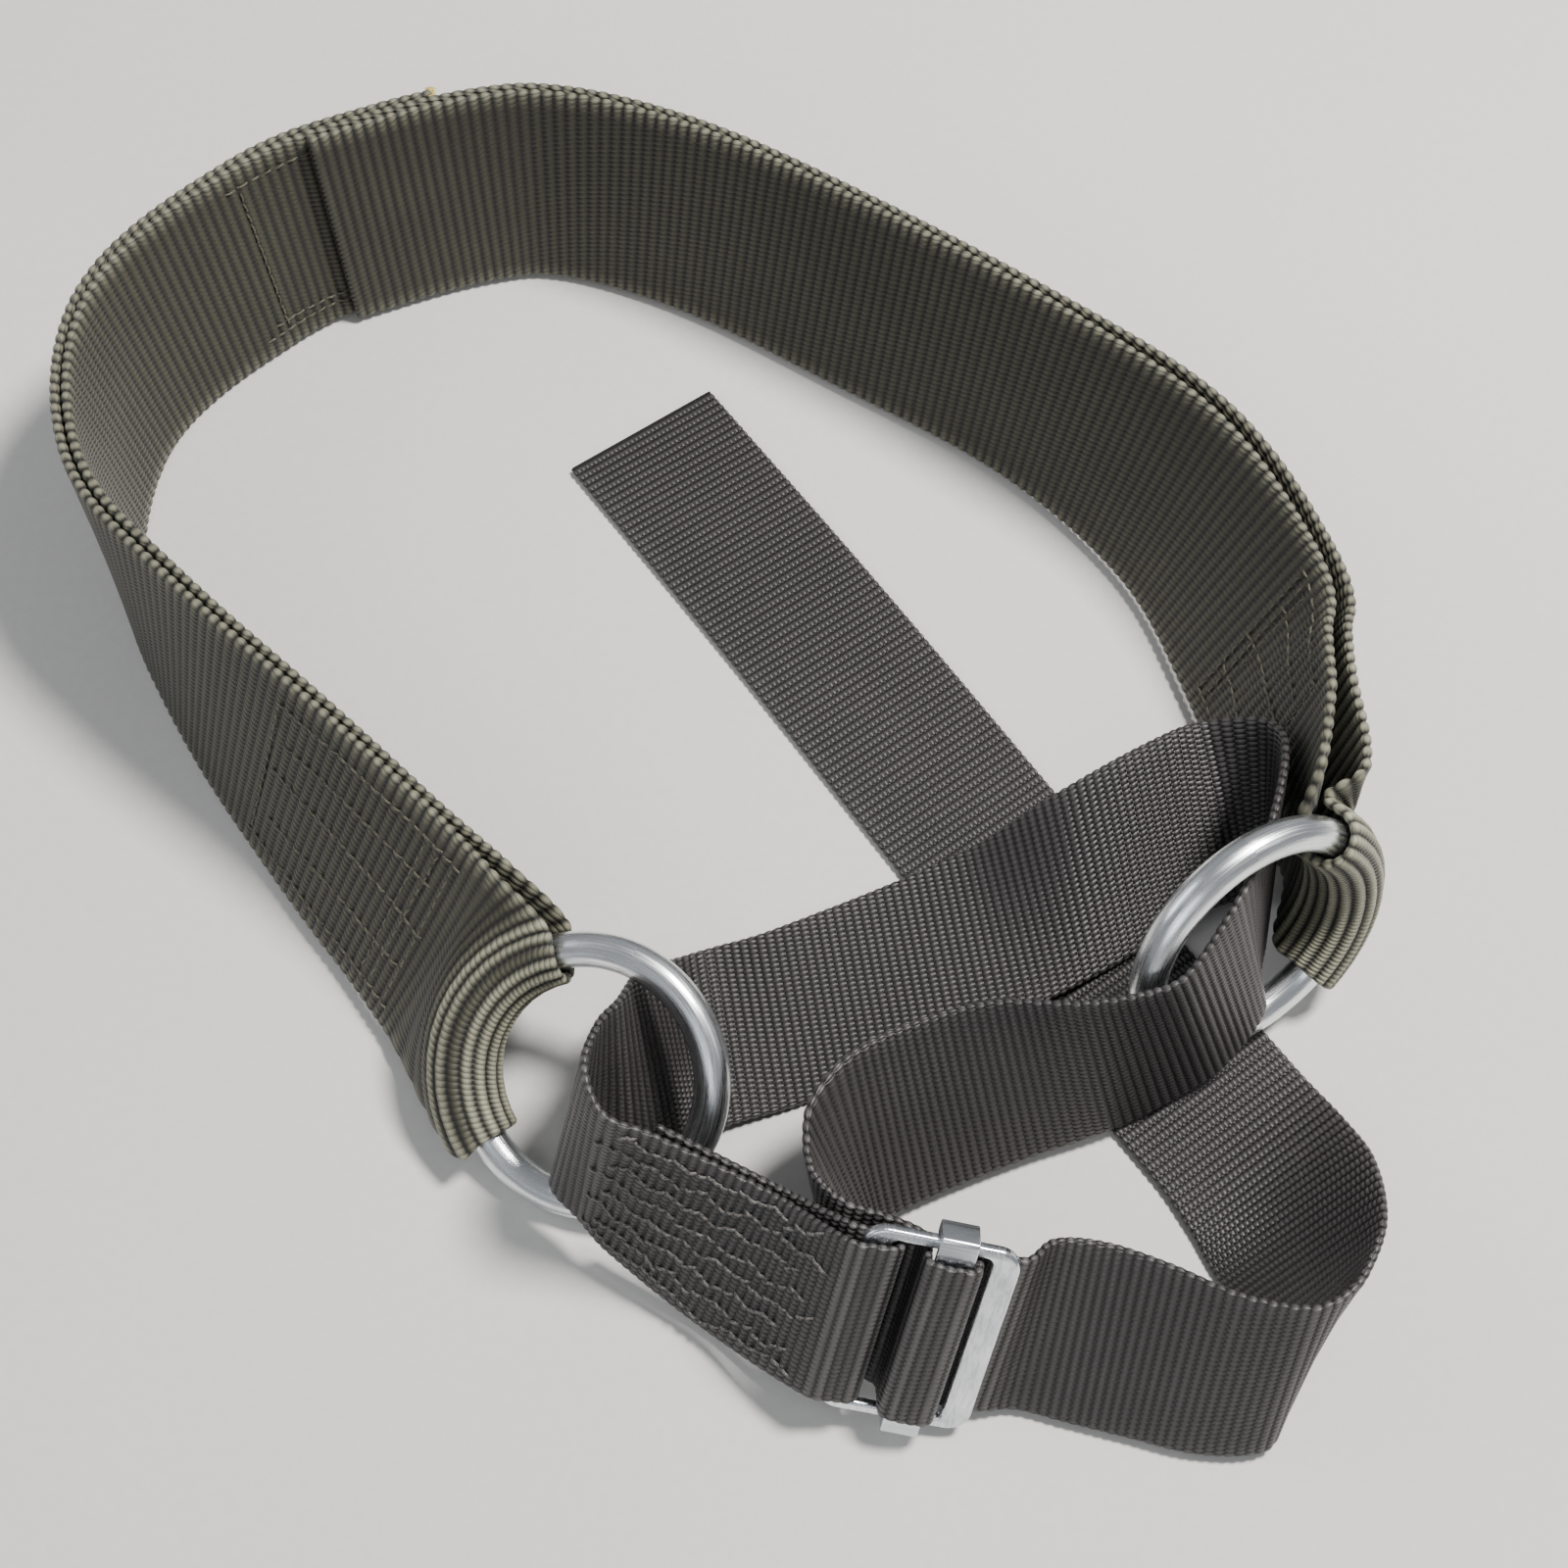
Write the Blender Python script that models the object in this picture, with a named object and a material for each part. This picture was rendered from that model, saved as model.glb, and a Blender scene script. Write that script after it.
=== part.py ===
"""Glute ham strap: a loop of doubled wide webbing that ends round two steel rings, and a narrower
strap, threaded through both rings and through a sliding bar buckle, lying as it was put down.
All lengths below are millimetres until they are handed to a mesh. +Z is up, the floor is Z = 0."""

import math

import bmesh
import bpy
import numpy as np

MM = 0.001
FLOOR_GAP = 0.1
GAP = 0.3              # air left between two pieces or two plies that touch

# Wide webbing of the thigh loop
BAND_W = 50.8
BAND_T = 2.2
BAND_COLS = 5          # points across the width
BAND_STEP = 5.2        # length of one facet along it
BAND_ROW_STEP = 0.25   # the plies are set out this often between the rows of the table below
# Narrow webbing of the pulling strap
STRAP_W = 38.1
STRAP_T = 1.7
STRAP_COLS = 3
STRAP_STEP = 4.4
LAY = 38.1             # the places on the floor in the tables of this strap are shares of it
# Round rings, welded shut
RING_ROOM = 3.9
RING_BORE = STRAP_W + RING_ROOM
RING_WIRE = 7.1
RING_MID = (RING_BORE + RING_WIRE) / 2
RING_FACETS = 40
WIRE_FACETS = 12
# Sliding bar buckle
RAIL = 5.5             # width of the rails that the webbing goes round
SLOT_ROOM = 0.8        # webbing plus this is the length of the slots
FRAME_L = 29.0         # outside, along the webbing
FRAME_END = 2.4        # width of the rails beside the webbing
FRAME_T = 2.2
FRAME_W = STRAP_W + SLOT_ROOM + 2 * FRAME_END
FRAME_CORNER = 4.5
WINDOW_CORNER = 1.2
BAR_L = 7.0            # sliding bar, along the webbing
BAR_T = 1.6
BAR_AT = 2.2           # its place in the window, from the middle
BAR_LIP = 1.5          # how far its ends reach back round the frame

LOOP_EASE = 0.7        # a sewn loop is a little wider than its wire
LOOP_R = RING_WIRE / 2 + LOOP_EASE + BAND_T / 2       # middle of the wide webbing round a ring's wire
PLY = BAND_T + GAP                              # from ply to ply of the band
SPLAY = 1.2            # how far each ply has already left the other beside the left ring
TAB_PLY = STRAP_T + 2 * GAP
LEFT_LEAD = 5.0        # how far from the wire the webbing is still straight, at the left ring
RIGHT_LEAD = 6.0       # and at the right one, along its axis

LEFT_RING = dict(at=(-37.2, -72.8, 18.0), normal=(-0.266, -0.524, 0.809))
RIGHT_RING = dict(at=(89.5, -48.7, 29.2), normal=(0.513, -0.807, 0.292))
BUCKLE = dict(at=(24.0, -123.0, 22.4), along=(0.976, -0.150, -0.160), slot=(0.215, 0.505, 0.836))

# Thigh loop: x, y of its lower edge as shares of BAND_W, and degrees that its top leans outwards.
# All rows here are chosen by hand, to make the outlines and folds of the strap as it lies.
BAND_ROWS = (
    ("beside the left ring", -1.50, -1.15, -35),
    ("left flank", -2.00, -0.50, -26),
    ("left flank", -2.50, 0.25, -12),
    ("left bulge", -2.80, 0.95, 2),
    ("left bulge", -2.75, 1.70, 10),
    ("back left turn", -2.30, 2.25, 12),
    ("back, the stitched lap", -1.75, 2.55, 12),
    ("back, past the lap", -1.15, 2.70, 12),
    ("back", -0.50, 2.50, 14),
    ("back right", 0.25, 2.05, 15),
    ("back right turn", 1.00, 1.55, 14),
    ("right flank", 1.50, 1.00, 21),
    ("right flank", 1.74, 0.40, 25),
    ("right flank", 1.82, 0.10, 20),
    ("beside the right ring", 1.92, -0.15, 13),
)
LEFT_TURNS = (88, 90, 120, 150, 180, 210, 240, 270, 272)
RIGHT_TURNS = (0, 0, 30, 60, 90, 120, 150, 180, 180)     # degrees round the wire
LAP_FROM, LAP_TO = 5.6, 6.5    # rows between which three plies lie on each other
LAP_EASE = 0.5                  # rows that the plies take to move over
# Where the two plies have parted, just before the right ring: x, y, z, rib azimuth and rib tilt
NECK_OUTER = (2.15, -0.45, 0.52, -35, 88)
NECK_INNER = (2.02, -0.45, 0.51, 205, 87)

# Pulling strap: x and y of its middle as shares of LAY, z as a share of STRAP_W, then azimuth and
# tilt of the rib, which is the direction across the webbing from its lower to its upper edge
TAB_ROWS = (
    ("tab, by the buckle", 0.15, -3.15, 0.46, 58, 55),
    ("tab, middle", -0.25, -2.87, 0.53, 52, 58),
    ("tab, by the left ring", -0.75, -2.59, 0.67, 46, 68),
)
RUN_ROWS = (
    ("over the left ring's wire", -0.93, -2.48, 0.72, 50, 75),
    ("left bend", -1.05, -2.27, 0.73, 50, 70),
    ("left bend", -0.93, -2.04, 0.63, 77, 70),
    ("left bend", -0.79, -1.95, 0.53, 95, 60),
    ("going flat", -0.63, -1.80, 0.34, 105, 34),
    ("lying flat", -0.43, -1.56, 0.08, 100, 0),
    ("lying flat", 0.02, -1.40, 0.045, 100, 0),
    ("rising over the tail", 1.05, -0.98, 0.13, 100, 2),
    ("over the tail", 1.60, -0.74, 0.33, 104, 28),
    ("over the tail", 2.13, -0.43, 0.36, 105, 36),
    ("right bend", 2.37, -0.34, 0.34, 106, 36),
    ("right bend", 2.56, -0.38, 0.45, 95, 48),
    ("right bend", 2.58, -0.53, 0.58, 92, 63),
    ("entering the right ring", 2.46, -0.99, 0.71, 115, 76),
    ("in the right ring", 2.38, -1.22, 0.76, 130, 76),
    ("leaving the right ring", 2.33, -1.40, 0.75, 150, 71),
    ("turning back", 2.13, -1.66, 0.64, 162, 71),
    ("turning back", 1.99, -1.75, 0.60, 158, 71),
    ("standing on its edge", 1.59, -1.88, 0.54, 130, 67),
    ("standing on its edge", 1.14, -1.94, 0.49, 113, 56),
    ("standing on its edge", 0.73, -2.07, 0.46, 110, 51),
    ("inner bend", 0.41, -2.24, 0.47, 110, 53),
    ("inner bend", 0.28, -2.40, 0.47, 128, 60),
    ("inner bend", 0.24, -2.53, 0.48, 138, 68),
    ("behind the tab", 0.19, -2.68, 0.49, 120, 76),
)
OUT_ROWS = (
    ("out of the buckle", 1.20, -3.17, 0.43, 75, 51),
    ("front run", 1.45, -3.20, 0.40, 78, 46),
    ("front run", 1.73, -3.29, 0.42, 77, 49),
    ("front run", 2.07, -3.42, 0.46, 76, 56),
    ("outer bend", 2.38, -3.45, 0.49, 75, 62),
    ("outer bend", 2.49, -3.36, 0.49, 62, 65),
    ("outer bend", 2.52, -3.20, 0.46, 38, 59),
    ("laying itself down", 2.57, -2.88, 0.40, 25, 49),
    ("laying itself down", 2.53, -2.55, 0.23, 29, 25),
    ("laying itself down", 2.46, -2.31, 0.10, 34, 8),
    ("tail, flat", 2.30, -2.03, 0.03, 36, 0),
    ("tail, flat", 1.68, -1.20, 0.03, 37, 0),
    ("tail, flat", 0.10, 1.06, 0.03, 36, 0),
    ("tail end", -0.85, 2.37, 0.03, 35, 0),
)


def unit(v):
    v = np.asarray(v, float)
    return v / np.linalg.norm(v)


def rib(azimuth, tilt):
    a, t = math.radians(azimuth), math.radians(tilt)
    return np.array([math.cos(a) * math.cos(t), math.sin(a) * math.cos(t), math.sin(t)])


def section(middle, across, width, columns):
    share = np.linspace(-0.5, 0.5, columns)[:, None]
    return np.asarray(middle, float) + share * width * across


def loft(sections, step):
    """Sections between the given ones, on a smooth curve through each column of points."""
    s = [np.asarray(a, float) for a in sections]
    mid = [a.mean(0) for a in s]
    knots = np.concatenate([[0], np.cumsum([max(np.linalg.norm(b - a), 0.01)
                                            for a, b in zip(mid, mid[1:])])])
    slopes = []
    for i in range(len(s)):
        lo, hi = max(i - 1, 0), min(i + 1, len(s) - 1)
        slopes.append((s[hi] - s[lo]) / (knots[hi] - knots[lo]))
    out = []
    for i in range(len(s) - 1):
        span = knots[i + 1] - knots[i]
        count = max(1, round(span / step))
        for k in range(count):
            u = k / count
            out.append((2 * u**3 - 3 * u**2 + 1) * s[i] + (u**3 - 2 * u**2 + u) * span * slopes[i]
                       + (3 * u**2 - 2 * u**3) * s[i + 1] + (u**3 - u**2) * span * slopes[i + 1])
    out.append(s[-1])
    return np.array(out)


def lifted(grid, thick):
    """The webbing rests on the floor: nothing of its middle is lower than half its thickness."""
    grid[..., 2] = np.maximum(grid[..., 2], thick / 2 + FLOOR_GAP)
    return grid


def normals(grid):
    along = np.gradient(grid, axis=0)
    across = np.gradient(grid, axis=1)
    n = np.cross(along, across)
    return n / np.linalg.norm(n, axis=2)[..., None]


def closed_slab(name, grid, thick, material):
    """Closed mesh of a cloth of this thickness whose middle is the grid."""
    n = normals(grid) * thick / 2
    rows, cols = grid.shape[:2]
    points = np.concatenate([(grid + n).reshape(-1, 3), (grid - n).reshape(-1, 3)]) * MM
    top = np.arange(rows * cols).reshape(rows, cols)
    low = top + rows * cols
    faces = []
    for i in range(rows - 1):
        for j in range(cols - 1):
            faces.append((top[i, j], top[i + 1, j], top[i + 1, j + 1], top[i, j + 1]))
            faces.append((low[i, j], low[i, j + 1], low[i + 1, j + 1], low[i + 1, j]))
        faces.append((top[i, 0], low[i, 0], low[i + 1, 0], top[i + 1, 0]))
        faces.append((top[i, -1], top[i + 1, -1], low[i + 1, -1], low[i, -1]))
    for j in range(cols - 1):
        faces.append((top[0, j], top[0, j + 1], low[0, j + 1], low[0, j]))
        faces.append((top[-1, j], low[-1, j], low[-1, j + 1], top[-1, j + 1]))
    mesh = bpy.data.meshes.new(name)
    mesh.from_pydata(points.tolist(), [], [tuple(int(k) for k in f) for f in faces])
    mesh.update()
    return add(name, mesh, material)


def add(name, mesh, material):
    obj = bpy.data.objects.new(name, mesh)
    obj.data.materials.clear()
    obj.data.materials.append(material)
    PART.objects.link(obj)
    return obj


def ring_axes(ring):
    """Steepest direction up in the ring's plane, the level one, and its axis."""
    n = unit(ring["normal"])
    up = unit(np.array([0, 0, 1]) - n * n[2])
    return up, np.cross(n, up), n


def wire_loop(ring, low, high, turns, columns, lead=(0.0, 0.0)):
    """Sections of webbing that bends round the ring's wire. Its columns lie side by side along
    the wire, from the angle low to high, and turns are the angles round the wire. The first
    and the last section are moved by lead: away from the ring's middle, and along its axis."""
    up, level, n = ring_axes(ring)
    out = []
    for count, turn in enumerate(turns):
        psi = math.radians(turn)
        out_by, along_by = lead if count in (0, len(turns) - 1) else (0.0, 0.0)
        points = []
        for share in np.linspace(0, 1, columns):
            phi = math.radians(low + share * (high - low))
            away = -(up * math.cos(phi) + level * math.sin(phi))
            wire = np.array(ring["at"]) + RING_MID * away
            points.append(wire + LOOP_R * (math.cos(psi) * away + math.sin(psi) * n)
                          + out_by * away + along_by * n)
        out.append(np.array(points))
    return out


def smooth(u):
    u = min(1.0, max(0.0, u))
    return u * u * (3 - 2 * u)


def band_grid():
    rows = np.array([(x * BAND_W, y * BAND_W, math.radians(lean)) for _, x, y, lean in BAND_ROWS])
    last = len(rows) - 1

    def row_at(i):
        """Row between the given ones, on a smooth curve."""
        k = min(int(i), last - 1)
        u = i - k
        a, b = rows[k], rows[k + 1]
        before, after = rows[max(k - 1, 0)], rows[min(k + 2, last)]
        return (a + 0.5 * u * (b - before + u * (2 * before - 5 * a + 4 * b - after
                                                 + u * (3 * (a - b) + after - before))))

    def ply(i, shift):
        """Section of a ply that lies this far outside the middle of the band."""
        x, y, lean = row_at(i)
        t = unit((row_at(min(i + 0.1, last)) - row_at(max(i - 0.1, 0)))[:2])
        o = np.array([-t[1], t[0], 0.0])
        up = o * math.sin(lean) + np.array([0, 0, math.cos(lean)])
        out = o * math.cos(lean) - np.array([0, 0, math.sin(lean)])
        foot = np.array([x, y, BAND_T * abs(math.sin(lean)) + GAP])
        return section(foot + up * BAND_W / 2 + out * shift, up, BAND_W, BAND_COLS)

    def before_lap(i):
        """1 short of the lap, 0 in it: the plies move over just before it."""
        return 1 - smooth((i - LAP_FROM + LAP_EASE + 0.1) / LAP_EASE)

    def past_lap(i):
        return smooth((i - LAP_TO - 0.1) / LAP_EASE)

    def splay(i):
        return SPLAY * (1 - smooth(i / 0.5)) + SPLAY * smooth((i - last + 4.4) / 1.4)

    path = []
    # The outer ply of the left half starts at the far end of the lap and runs to the left ring
    for i in np.append(np.arange(0, LAP_TO - 0.1, BAND_ROW_STEP), LAP_TO)[::-1]:
        path.append(ply(i, PLY - PLY / 2 * before_lap(i) + splay(i)))
    path += wire_loop(LEFT_RING, 326, 214, LEFT_TURNS, BAND_COLS, lead=(LEFT_LEAD, 0.0))
    # Back as the inner ply, through the lap as the middle one, and on as the outer ply
    for i in np.linspace(0, last, round(last / BAND_ROW_STEP) + 1):
        outer_ply = 1 if i > LAP_TO else -1
        path.append(ply(i, PLY / 2 * past_lap(i) - PLY / 2 * before_lap(i) + outer_ply * splay(i)))
    for neck, turns in ((NECK_OUTER, RIGHT_TURNS), (NECK_INNER, ())):
        x, y, z, az, tilt = neck
        path.append(section(np.array([x, y, z]) * BAND_W, rib(az, tilt), BAND_W, BAND_COLS))
        path += wire_loop(RIGHT_RING, 32, 130, turns, BAND_COLS, lead=(0.0, -RIGHT_LEAD))
    # Back as the inner ply, to the near end of the lap
    for i in np.append(np.arange(last, LAP_FROM + 0.1, -BAND_ROW_STEP), LAP_FROM):
        path.append(ply(i, PLY / 2 * past_lap(i) - PLY - splay(i)))
    return lifted(loft(path, BAND_STEP), BAND_T)


def strap_rows(rows):
    out = []
    for _, x, y, z, az, tilt in rows:
        middle = (x * LAY, y * LAY, z * STRAP_W)
        out.append(section(middle, rib(az, tilt), STRAP_W, STRAP_COLS))
    return out


def buckle_axes():
    along = unit(BUCKLE["along"])
    slot = unit(np.array(BUCKLE["slot"]) - along * (along @ unit(BUCKLE["slot"])))
    return along, slot, np.cross(along, slot)


def strap_grid():
    along, slot, front = buckle_axes()
    at = np.array(BUCKLE["at"])

    def in_buckle(s, n):
        return section(at + along * s + front * n, slot, STRAP_W, STRAP_COLS)

    over_rail = FRAME_T / 2 + GAP + STRAP_T / 2
    rail_edge = -FRAME_L / 2 + RAIL
    # The tab: its hidden under ply from the cut end to the buckle, then round the buckle's rail
    tab = strap_rows(TAB_ROWS)
    # Away from the buckle the plies lie on each other, so the under ply is the tab moved back
    ahead = strap_rows(RUN_ROWS[:1])
    under = []
    for k, t in enumerate(tab):
        before, after = tab[max(k - 1, 0)], (tab + ahead)[k + 1]
        n = unit(np.cross(after.mean(0) - before.mean(0), t[-1] - t[0]))
        under.append(t + n * (1 if n[1] > 0 else -1) * TAB_PLY)
    path = [under[-1], under[1]]
    path.append(in_buckle(-FRAME_L / 2 - 1.5, -over_rail - 0.2))
    path += [in_buckle(rail_edge - 2, -over_rail)]
    for turn in (-60, -20, 20, 60):
        a = math.radians(turn)
        path.append(in_buckle(rail_edge - 0.6 + over_rail * math.cos(a), over_rail * math.sin(a)))
    path += [in_buckle(rail_edge - 2, over_rail), in_buckle(-FRAME_L / 2 - 1.5, over_rail + 0.1)]
    path += [tab[1], tab[2]]
    path += strap_rows(RUN_ROWS)
    # From behind the tab through the left slot, over the bar, and out under the right rail
    bar_over = FRAME_T / 2 + GAP + BAR_T + GAP + STRAP_T / 2
    left = BAR_AT - BAR_L / 2 - GAP - STRAP_T / 2
    right = BAR_AT + BAR_L / 2 + GAP + STRAP_T / 2
    behind = -over_rail - TAB_PLY
    path += [
        in_buckle(-FRAME_L / 2 - 3, behind - 3.5),
        in_buckle(rail_edge - 2, behind - 2.2),
        in_buckle(left - 0.9, behind + 0.4),
        in_buckle(left, -0.4),
        in_buckle(left + 0.1, bar_over - 1.2),
        in_buckle(left + 1.4, bar_over),
        in_buckle(right - 1.4, bar_over),
        in_buckle(right - 0.1, bar_over - 1.2),
        in_buckle(right, -0.2),
        in_buckle(right + 1.2, -over_rail + 0.1),
        in_buckle(FRAME_L / 2 - RAIL / 2, -over_rail),
        in_buckle(FRAME_L / 2 + 1.5, -over_rail - 0.2),
    ]
    path += strap_rows(OUT_ROWS)
    return lifted(loft(path, STRAP_STEP), STRAP_T)


def torus(name, ring, material):
    bpy.ops.mesh.primitive_torus_add(
        major_segments=RING_FACETS, minor_segments=WIRE_FACETS,
        major_radius=RING_MID * MM, minor_radius=RING_WIRE / 2 * MM)
    made = bpy.context.object
    up, level, n = ring_axes(ring)
    mesh = made.data.copy()
    bpy.data.objects.remove(made)
    points = np.array([v.co for v in mesh.vertices])
    points = points @ np.array([up, level, n]) + np.array(ring["at"]) * MM
    for v, p in zip(mesh.vertices, points):
        v.co = p
    mesh.name = name
    return add(name, mesh, material)


def rounded(length, width, corner, per_corner=5):
    """Points of a rectangle with round corners."""
    out = []
    for sx, sy, start in ((1, 1, 0), (-1, 1, 90), (-1, -1, 180), (1, -1, 270)):
        cx, cy = sx * (length / 2 - corner), sy * (width / 2 - corner)
        for k in range(per_corner):
            a = math.radians(start + 90 * k / (per_corner - 1))
            out.append((cx + corner * math.cos(a), cy + corner * math.sin(a)))
    return out


def flat_curve(name, outlines, depth, edge):
    """Mesh of a filled flat curve of this depth with its edges rounded off."""
    curve = bpy.data.curves.new(name, "CURVE")
    curve.dimensions = "2D"
    curve.fill_mode = "BOTH"
    curve.extrude = (depth / 2 - edge) * MM
    curve.bevel_depth = edge * MM
    curve.bevel_resolution = 1
    curve.offset = -edge * MM
    for outline in outlines:
        line = curve.splines.new("POLY")
        line.points.add(len(outline) - 1)
        for point, (x, y) in zip(line.points, outline):
            point.co = (x * MM, y * MM, 0, 1)
        line.use_cyclic_u = True
    holder = bpy.data.objects.new(name, curve)
    PART.objects.link(holder)
    bpy.context.view_layer.update()
    graph = bpy.context.evaluated_depsgraph_get()
    mesh = bpy.data.meshes.new_from_object(holder.evaluated_get(graph))
    bpy.data.objects.remove(holder)
    bm = bmesh.new()
    bm.from_mesh(mesh)
    bmesh.ops.remove_doubles(bm, verts=bm.verts, dist=0.00001)
    bmesh.ops.recalc_face_normals(bm, faces=bm.faces)
    bm.to_mesh(mesh)
    bm.free()
    return mesh


def place(mesh, axes, at):
    for v in mesh.vertices:
        p = np.array(v.co)
        v.co = p @ np.array(axes) + np.array(at) * MM


def buckle_frame(material):
    along, slot, front = buckle_axes()
    mesh = flat_curve("buckle_frame", [
        rounded(FRAME_L, FRAME_W, FRAME_CORNER),
        rounded(FRAME_L - 2 * RAIL, FRAME_W - 2 * FRAME_END, WINDOW_CORNER, 3)[::-1]],
        FRAME_T, 0.6)
    place(mesh, (along, slot, front), BUCKLE["at"])
    return add("buckle_frame", mesh, material)


def buckle_bar(material):
    """A strip across the window whose two ends are bent back round the frame."""
    along, slot, front = buckle_axes()
    face = FRAME_T / 2 + GAP
    end = FRAME_W / 2 + GAP
    back = -FRAME_T / 2 - GAP
    outline = [
        (-end - BAR_T, face + BAR_T), (-end - BAR_T, back - BAR_T), (-end + BAR_LIP, back - BAR_T),
        (-end + BAR_LIP, back), (-end, back), (-end, face),
        (end, face), (end, back), (end - BAR_LIP, back),
        (end - BAR_LIP, back - BAR_T), (end + BAR_T, back - BAR_T), (end + BAR_T, face + BAR_T)]
    mesh = flat_curve("buckle_bar", [outline], BAR_L, 0.2)
    # The curve's x runs along the slot, its y to the front, its z along the webbing
    place(mesh, (slot, front, along), np.array(BUCKLE["at"]) + along * BAR_AT)
    return add("buckle_bar", mesh, material)


def metal(name, colour, rough):
    m = bpy.data.materials.new(name)
    m.use_nodes = True
    shader = m.node_tree.nodes["Principled BSDF"]
    shader.inputs["Base Color"].default_value = (*colour, 1)
    shader.inputs["Metallic"].default_value = 1
    shader.inputs["Roughness"].default_value = rough
    return m


def cloth(name, colour):
    m = bpy.data.materials.new(name)
    m.use_nodes = True
    shader = m.node_tree.nodes["Principled BSDF"]
    shader.inputs["Base Color"].default_value = (*colour, 1)
    shader.inputs["Roughness"].default_value = 0.85
    return m


for old in list(bpy.data.objects):
    bpy.data.objects.remove(old)
PART = bpy.data.collections.new("glute_ham_strap")
bpy.context.scene.collection.children.link(PART)

OLIVE = cloth("band_webbing", (0.16, 0.15, 0.10))
BLACK = cloth("strap_webbing", (0.06, 0.055, 0.055))
RING_STEEL = metal("ring_steel", (0.75, 0.76, 0.78), 0.25)
BUCKLE_STEEL = metal("buckle_steel", (0.70, 0.72, 0.74), 0.3)

closed_slab("band_webbing", band_grid(), BAND_T, OLIVE)
closed_slab("strap_webbing", strap_grid(), STRAP_T, BLACK)
torus("ring_left", LEFT_RING, RING_STEEL)
torus("ring_right", RIGHT_RING, RING_STEEL)
buckle_frame(BUCKLE_STEEL)
buckle_bar(BUCKLE_STEEL)

# The frame's origin is the middle of the footprint, on the floor
corners = np.array([v.co for o in PART.objects for v in o.data.vertices])
low, high = corners.min(0), corners.max(0)
origin = np.array([(low[0] + high[0]) / 2, (low[1] + high[1]) / 2, low[2]])
for obj in PART.objects:
    for v in obj.data.vertices:
        v.co = np.array(v.co) - origin
    obj.data.update()
for obj in PART.objects:
    if min(v.co.z for v in obj.data.vertices) < 0.0005:
        print(obj.name, "stands on the floor")
print("origin moved by, mm", (origin / MM).round(2), "size, mm", ((high - low) / MM).round(1))
for obj in PART.objects:
    print(obj.name, "triangles", sum(len(p.vertices) - 2 for p in obj.data.polygons))
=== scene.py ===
# %% [markdown]
# # Glute ham strap
# A loop of doubled, heavy ribbed webbing ends round two steel rings. A narrower strap runs
# through both rings and through a sliding bar buckle, and lies as it was put down. This
# notebook gives it its looks: ribbed cloth, sewing, plated wire and a pressed buckle. The
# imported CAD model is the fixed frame, so each piece is made right where the CAD says.

# %% Load the frame
import math

import bmesh
import bpy
import numpy as np
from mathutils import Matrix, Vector


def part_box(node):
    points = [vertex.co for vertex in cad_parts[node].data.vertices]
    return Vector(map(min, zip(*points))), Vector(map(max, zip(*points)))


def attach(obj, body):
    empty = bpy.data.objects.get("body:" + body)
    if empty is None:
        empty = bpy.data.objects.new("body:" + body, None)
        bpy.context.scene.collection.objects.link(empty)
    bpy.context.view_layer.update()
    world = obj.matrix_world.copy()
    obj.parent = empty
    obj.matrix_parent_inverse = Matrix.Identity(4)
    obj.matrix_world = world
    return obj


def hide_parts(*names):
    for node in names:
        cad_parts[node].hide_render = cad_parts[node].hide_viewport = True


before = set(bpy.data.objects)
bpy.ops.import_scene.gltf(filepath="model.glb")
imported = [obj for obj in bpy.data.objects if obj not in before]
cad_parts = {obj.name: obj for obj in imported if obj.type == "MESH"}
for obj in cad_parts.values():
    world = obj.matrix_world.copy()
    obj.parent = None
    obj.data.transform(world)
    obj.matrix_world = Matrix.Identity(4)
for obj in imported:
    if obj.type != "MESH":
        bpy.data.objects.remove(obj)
bpy.context.view_layer.update()

# %% [markdown]
# ## Sizes
# Two widths of webbing, two rings and one buckle carry every size. They are millimetres,
# because a maker measures webbing so, and they become metres only where a mesh is made.

# %% Sizes, in millimetres
MM = 0.001
GAP = 0.3              # air between two plies that touch
FLOOR_GAP = 0.1
BAND_W, BAND_T, BAND_RIB = 50.8, 2.2, 2.5        # width, thickness, and from rib to rib
STRAP_W, STRAP_T, STRAP_RIB = 38.1, 1.7, 1.85
RING_ROOM, RING_WIRE = 3.9, 7.1
RING_BORE = STRAP_W + RING_ROOM
RING_MID = (RING_BORE + RING_WIRE) / 2
RAIL, FRAME_L, FRAME_T, FRAME_END = 5.5, 29.0, 2.2, 2.4
FRAME_W = STRAP_W + 0.8 + 2 * FRAME_END
FRAME_CORNER, WINDOW_CORNER = 4.5, 1.2
BAR_L, BAR_T, BAR_AT, BAR_LIP = 7.0, 1.6, 2.2, 1.5
LOOP_EASE, SPLAY = 0.7, 1.2
LOOP_R = RING_WIRE / 2 + LOOP_EASE + BAND_T / 2
PLY = BAND_T + GAP
TAB_PLY = STRAP_T + 2 * GAP
LEFT_LEAD, RIGHT_LEAD = 5.0, 6.0    # how far from the wire the wide webbing is still straight
LAY = 38.1             # the places on the floor in the strap's table are shares of it
ROWS_PER_RIB = 5       # rows of points to each rib, enough for a round back and a sharp groove

LEFT_RING = dict(at=(-37.2, -72.8, 18.0), normal=(-0.266, -0.524, 0.809))
RIGHT_RING = dict(at=(89.5, -48.7, 29.2), normal=(0.513, -0.807, 0.292))
BUCKLE = dict(at=(24.0, -123.0, 22.4), along=(0.976, -0.150, -0.160), slot=(0.215, 0.505, 0.836))

# %% [markdown]
# ## Where the places are counted from
# The places of the webbing are counted from the point of the floor that the camera looks at.
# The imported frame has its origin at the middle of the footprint. The left ring is in both, so
# the middle of its box gives the shift, and nothing has to be fitted by eye.

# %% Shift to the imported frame
def middle_of(node):
    low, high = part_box(node)
    return (np.array(low) + np.array(high)) / 2 / MM


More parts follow.
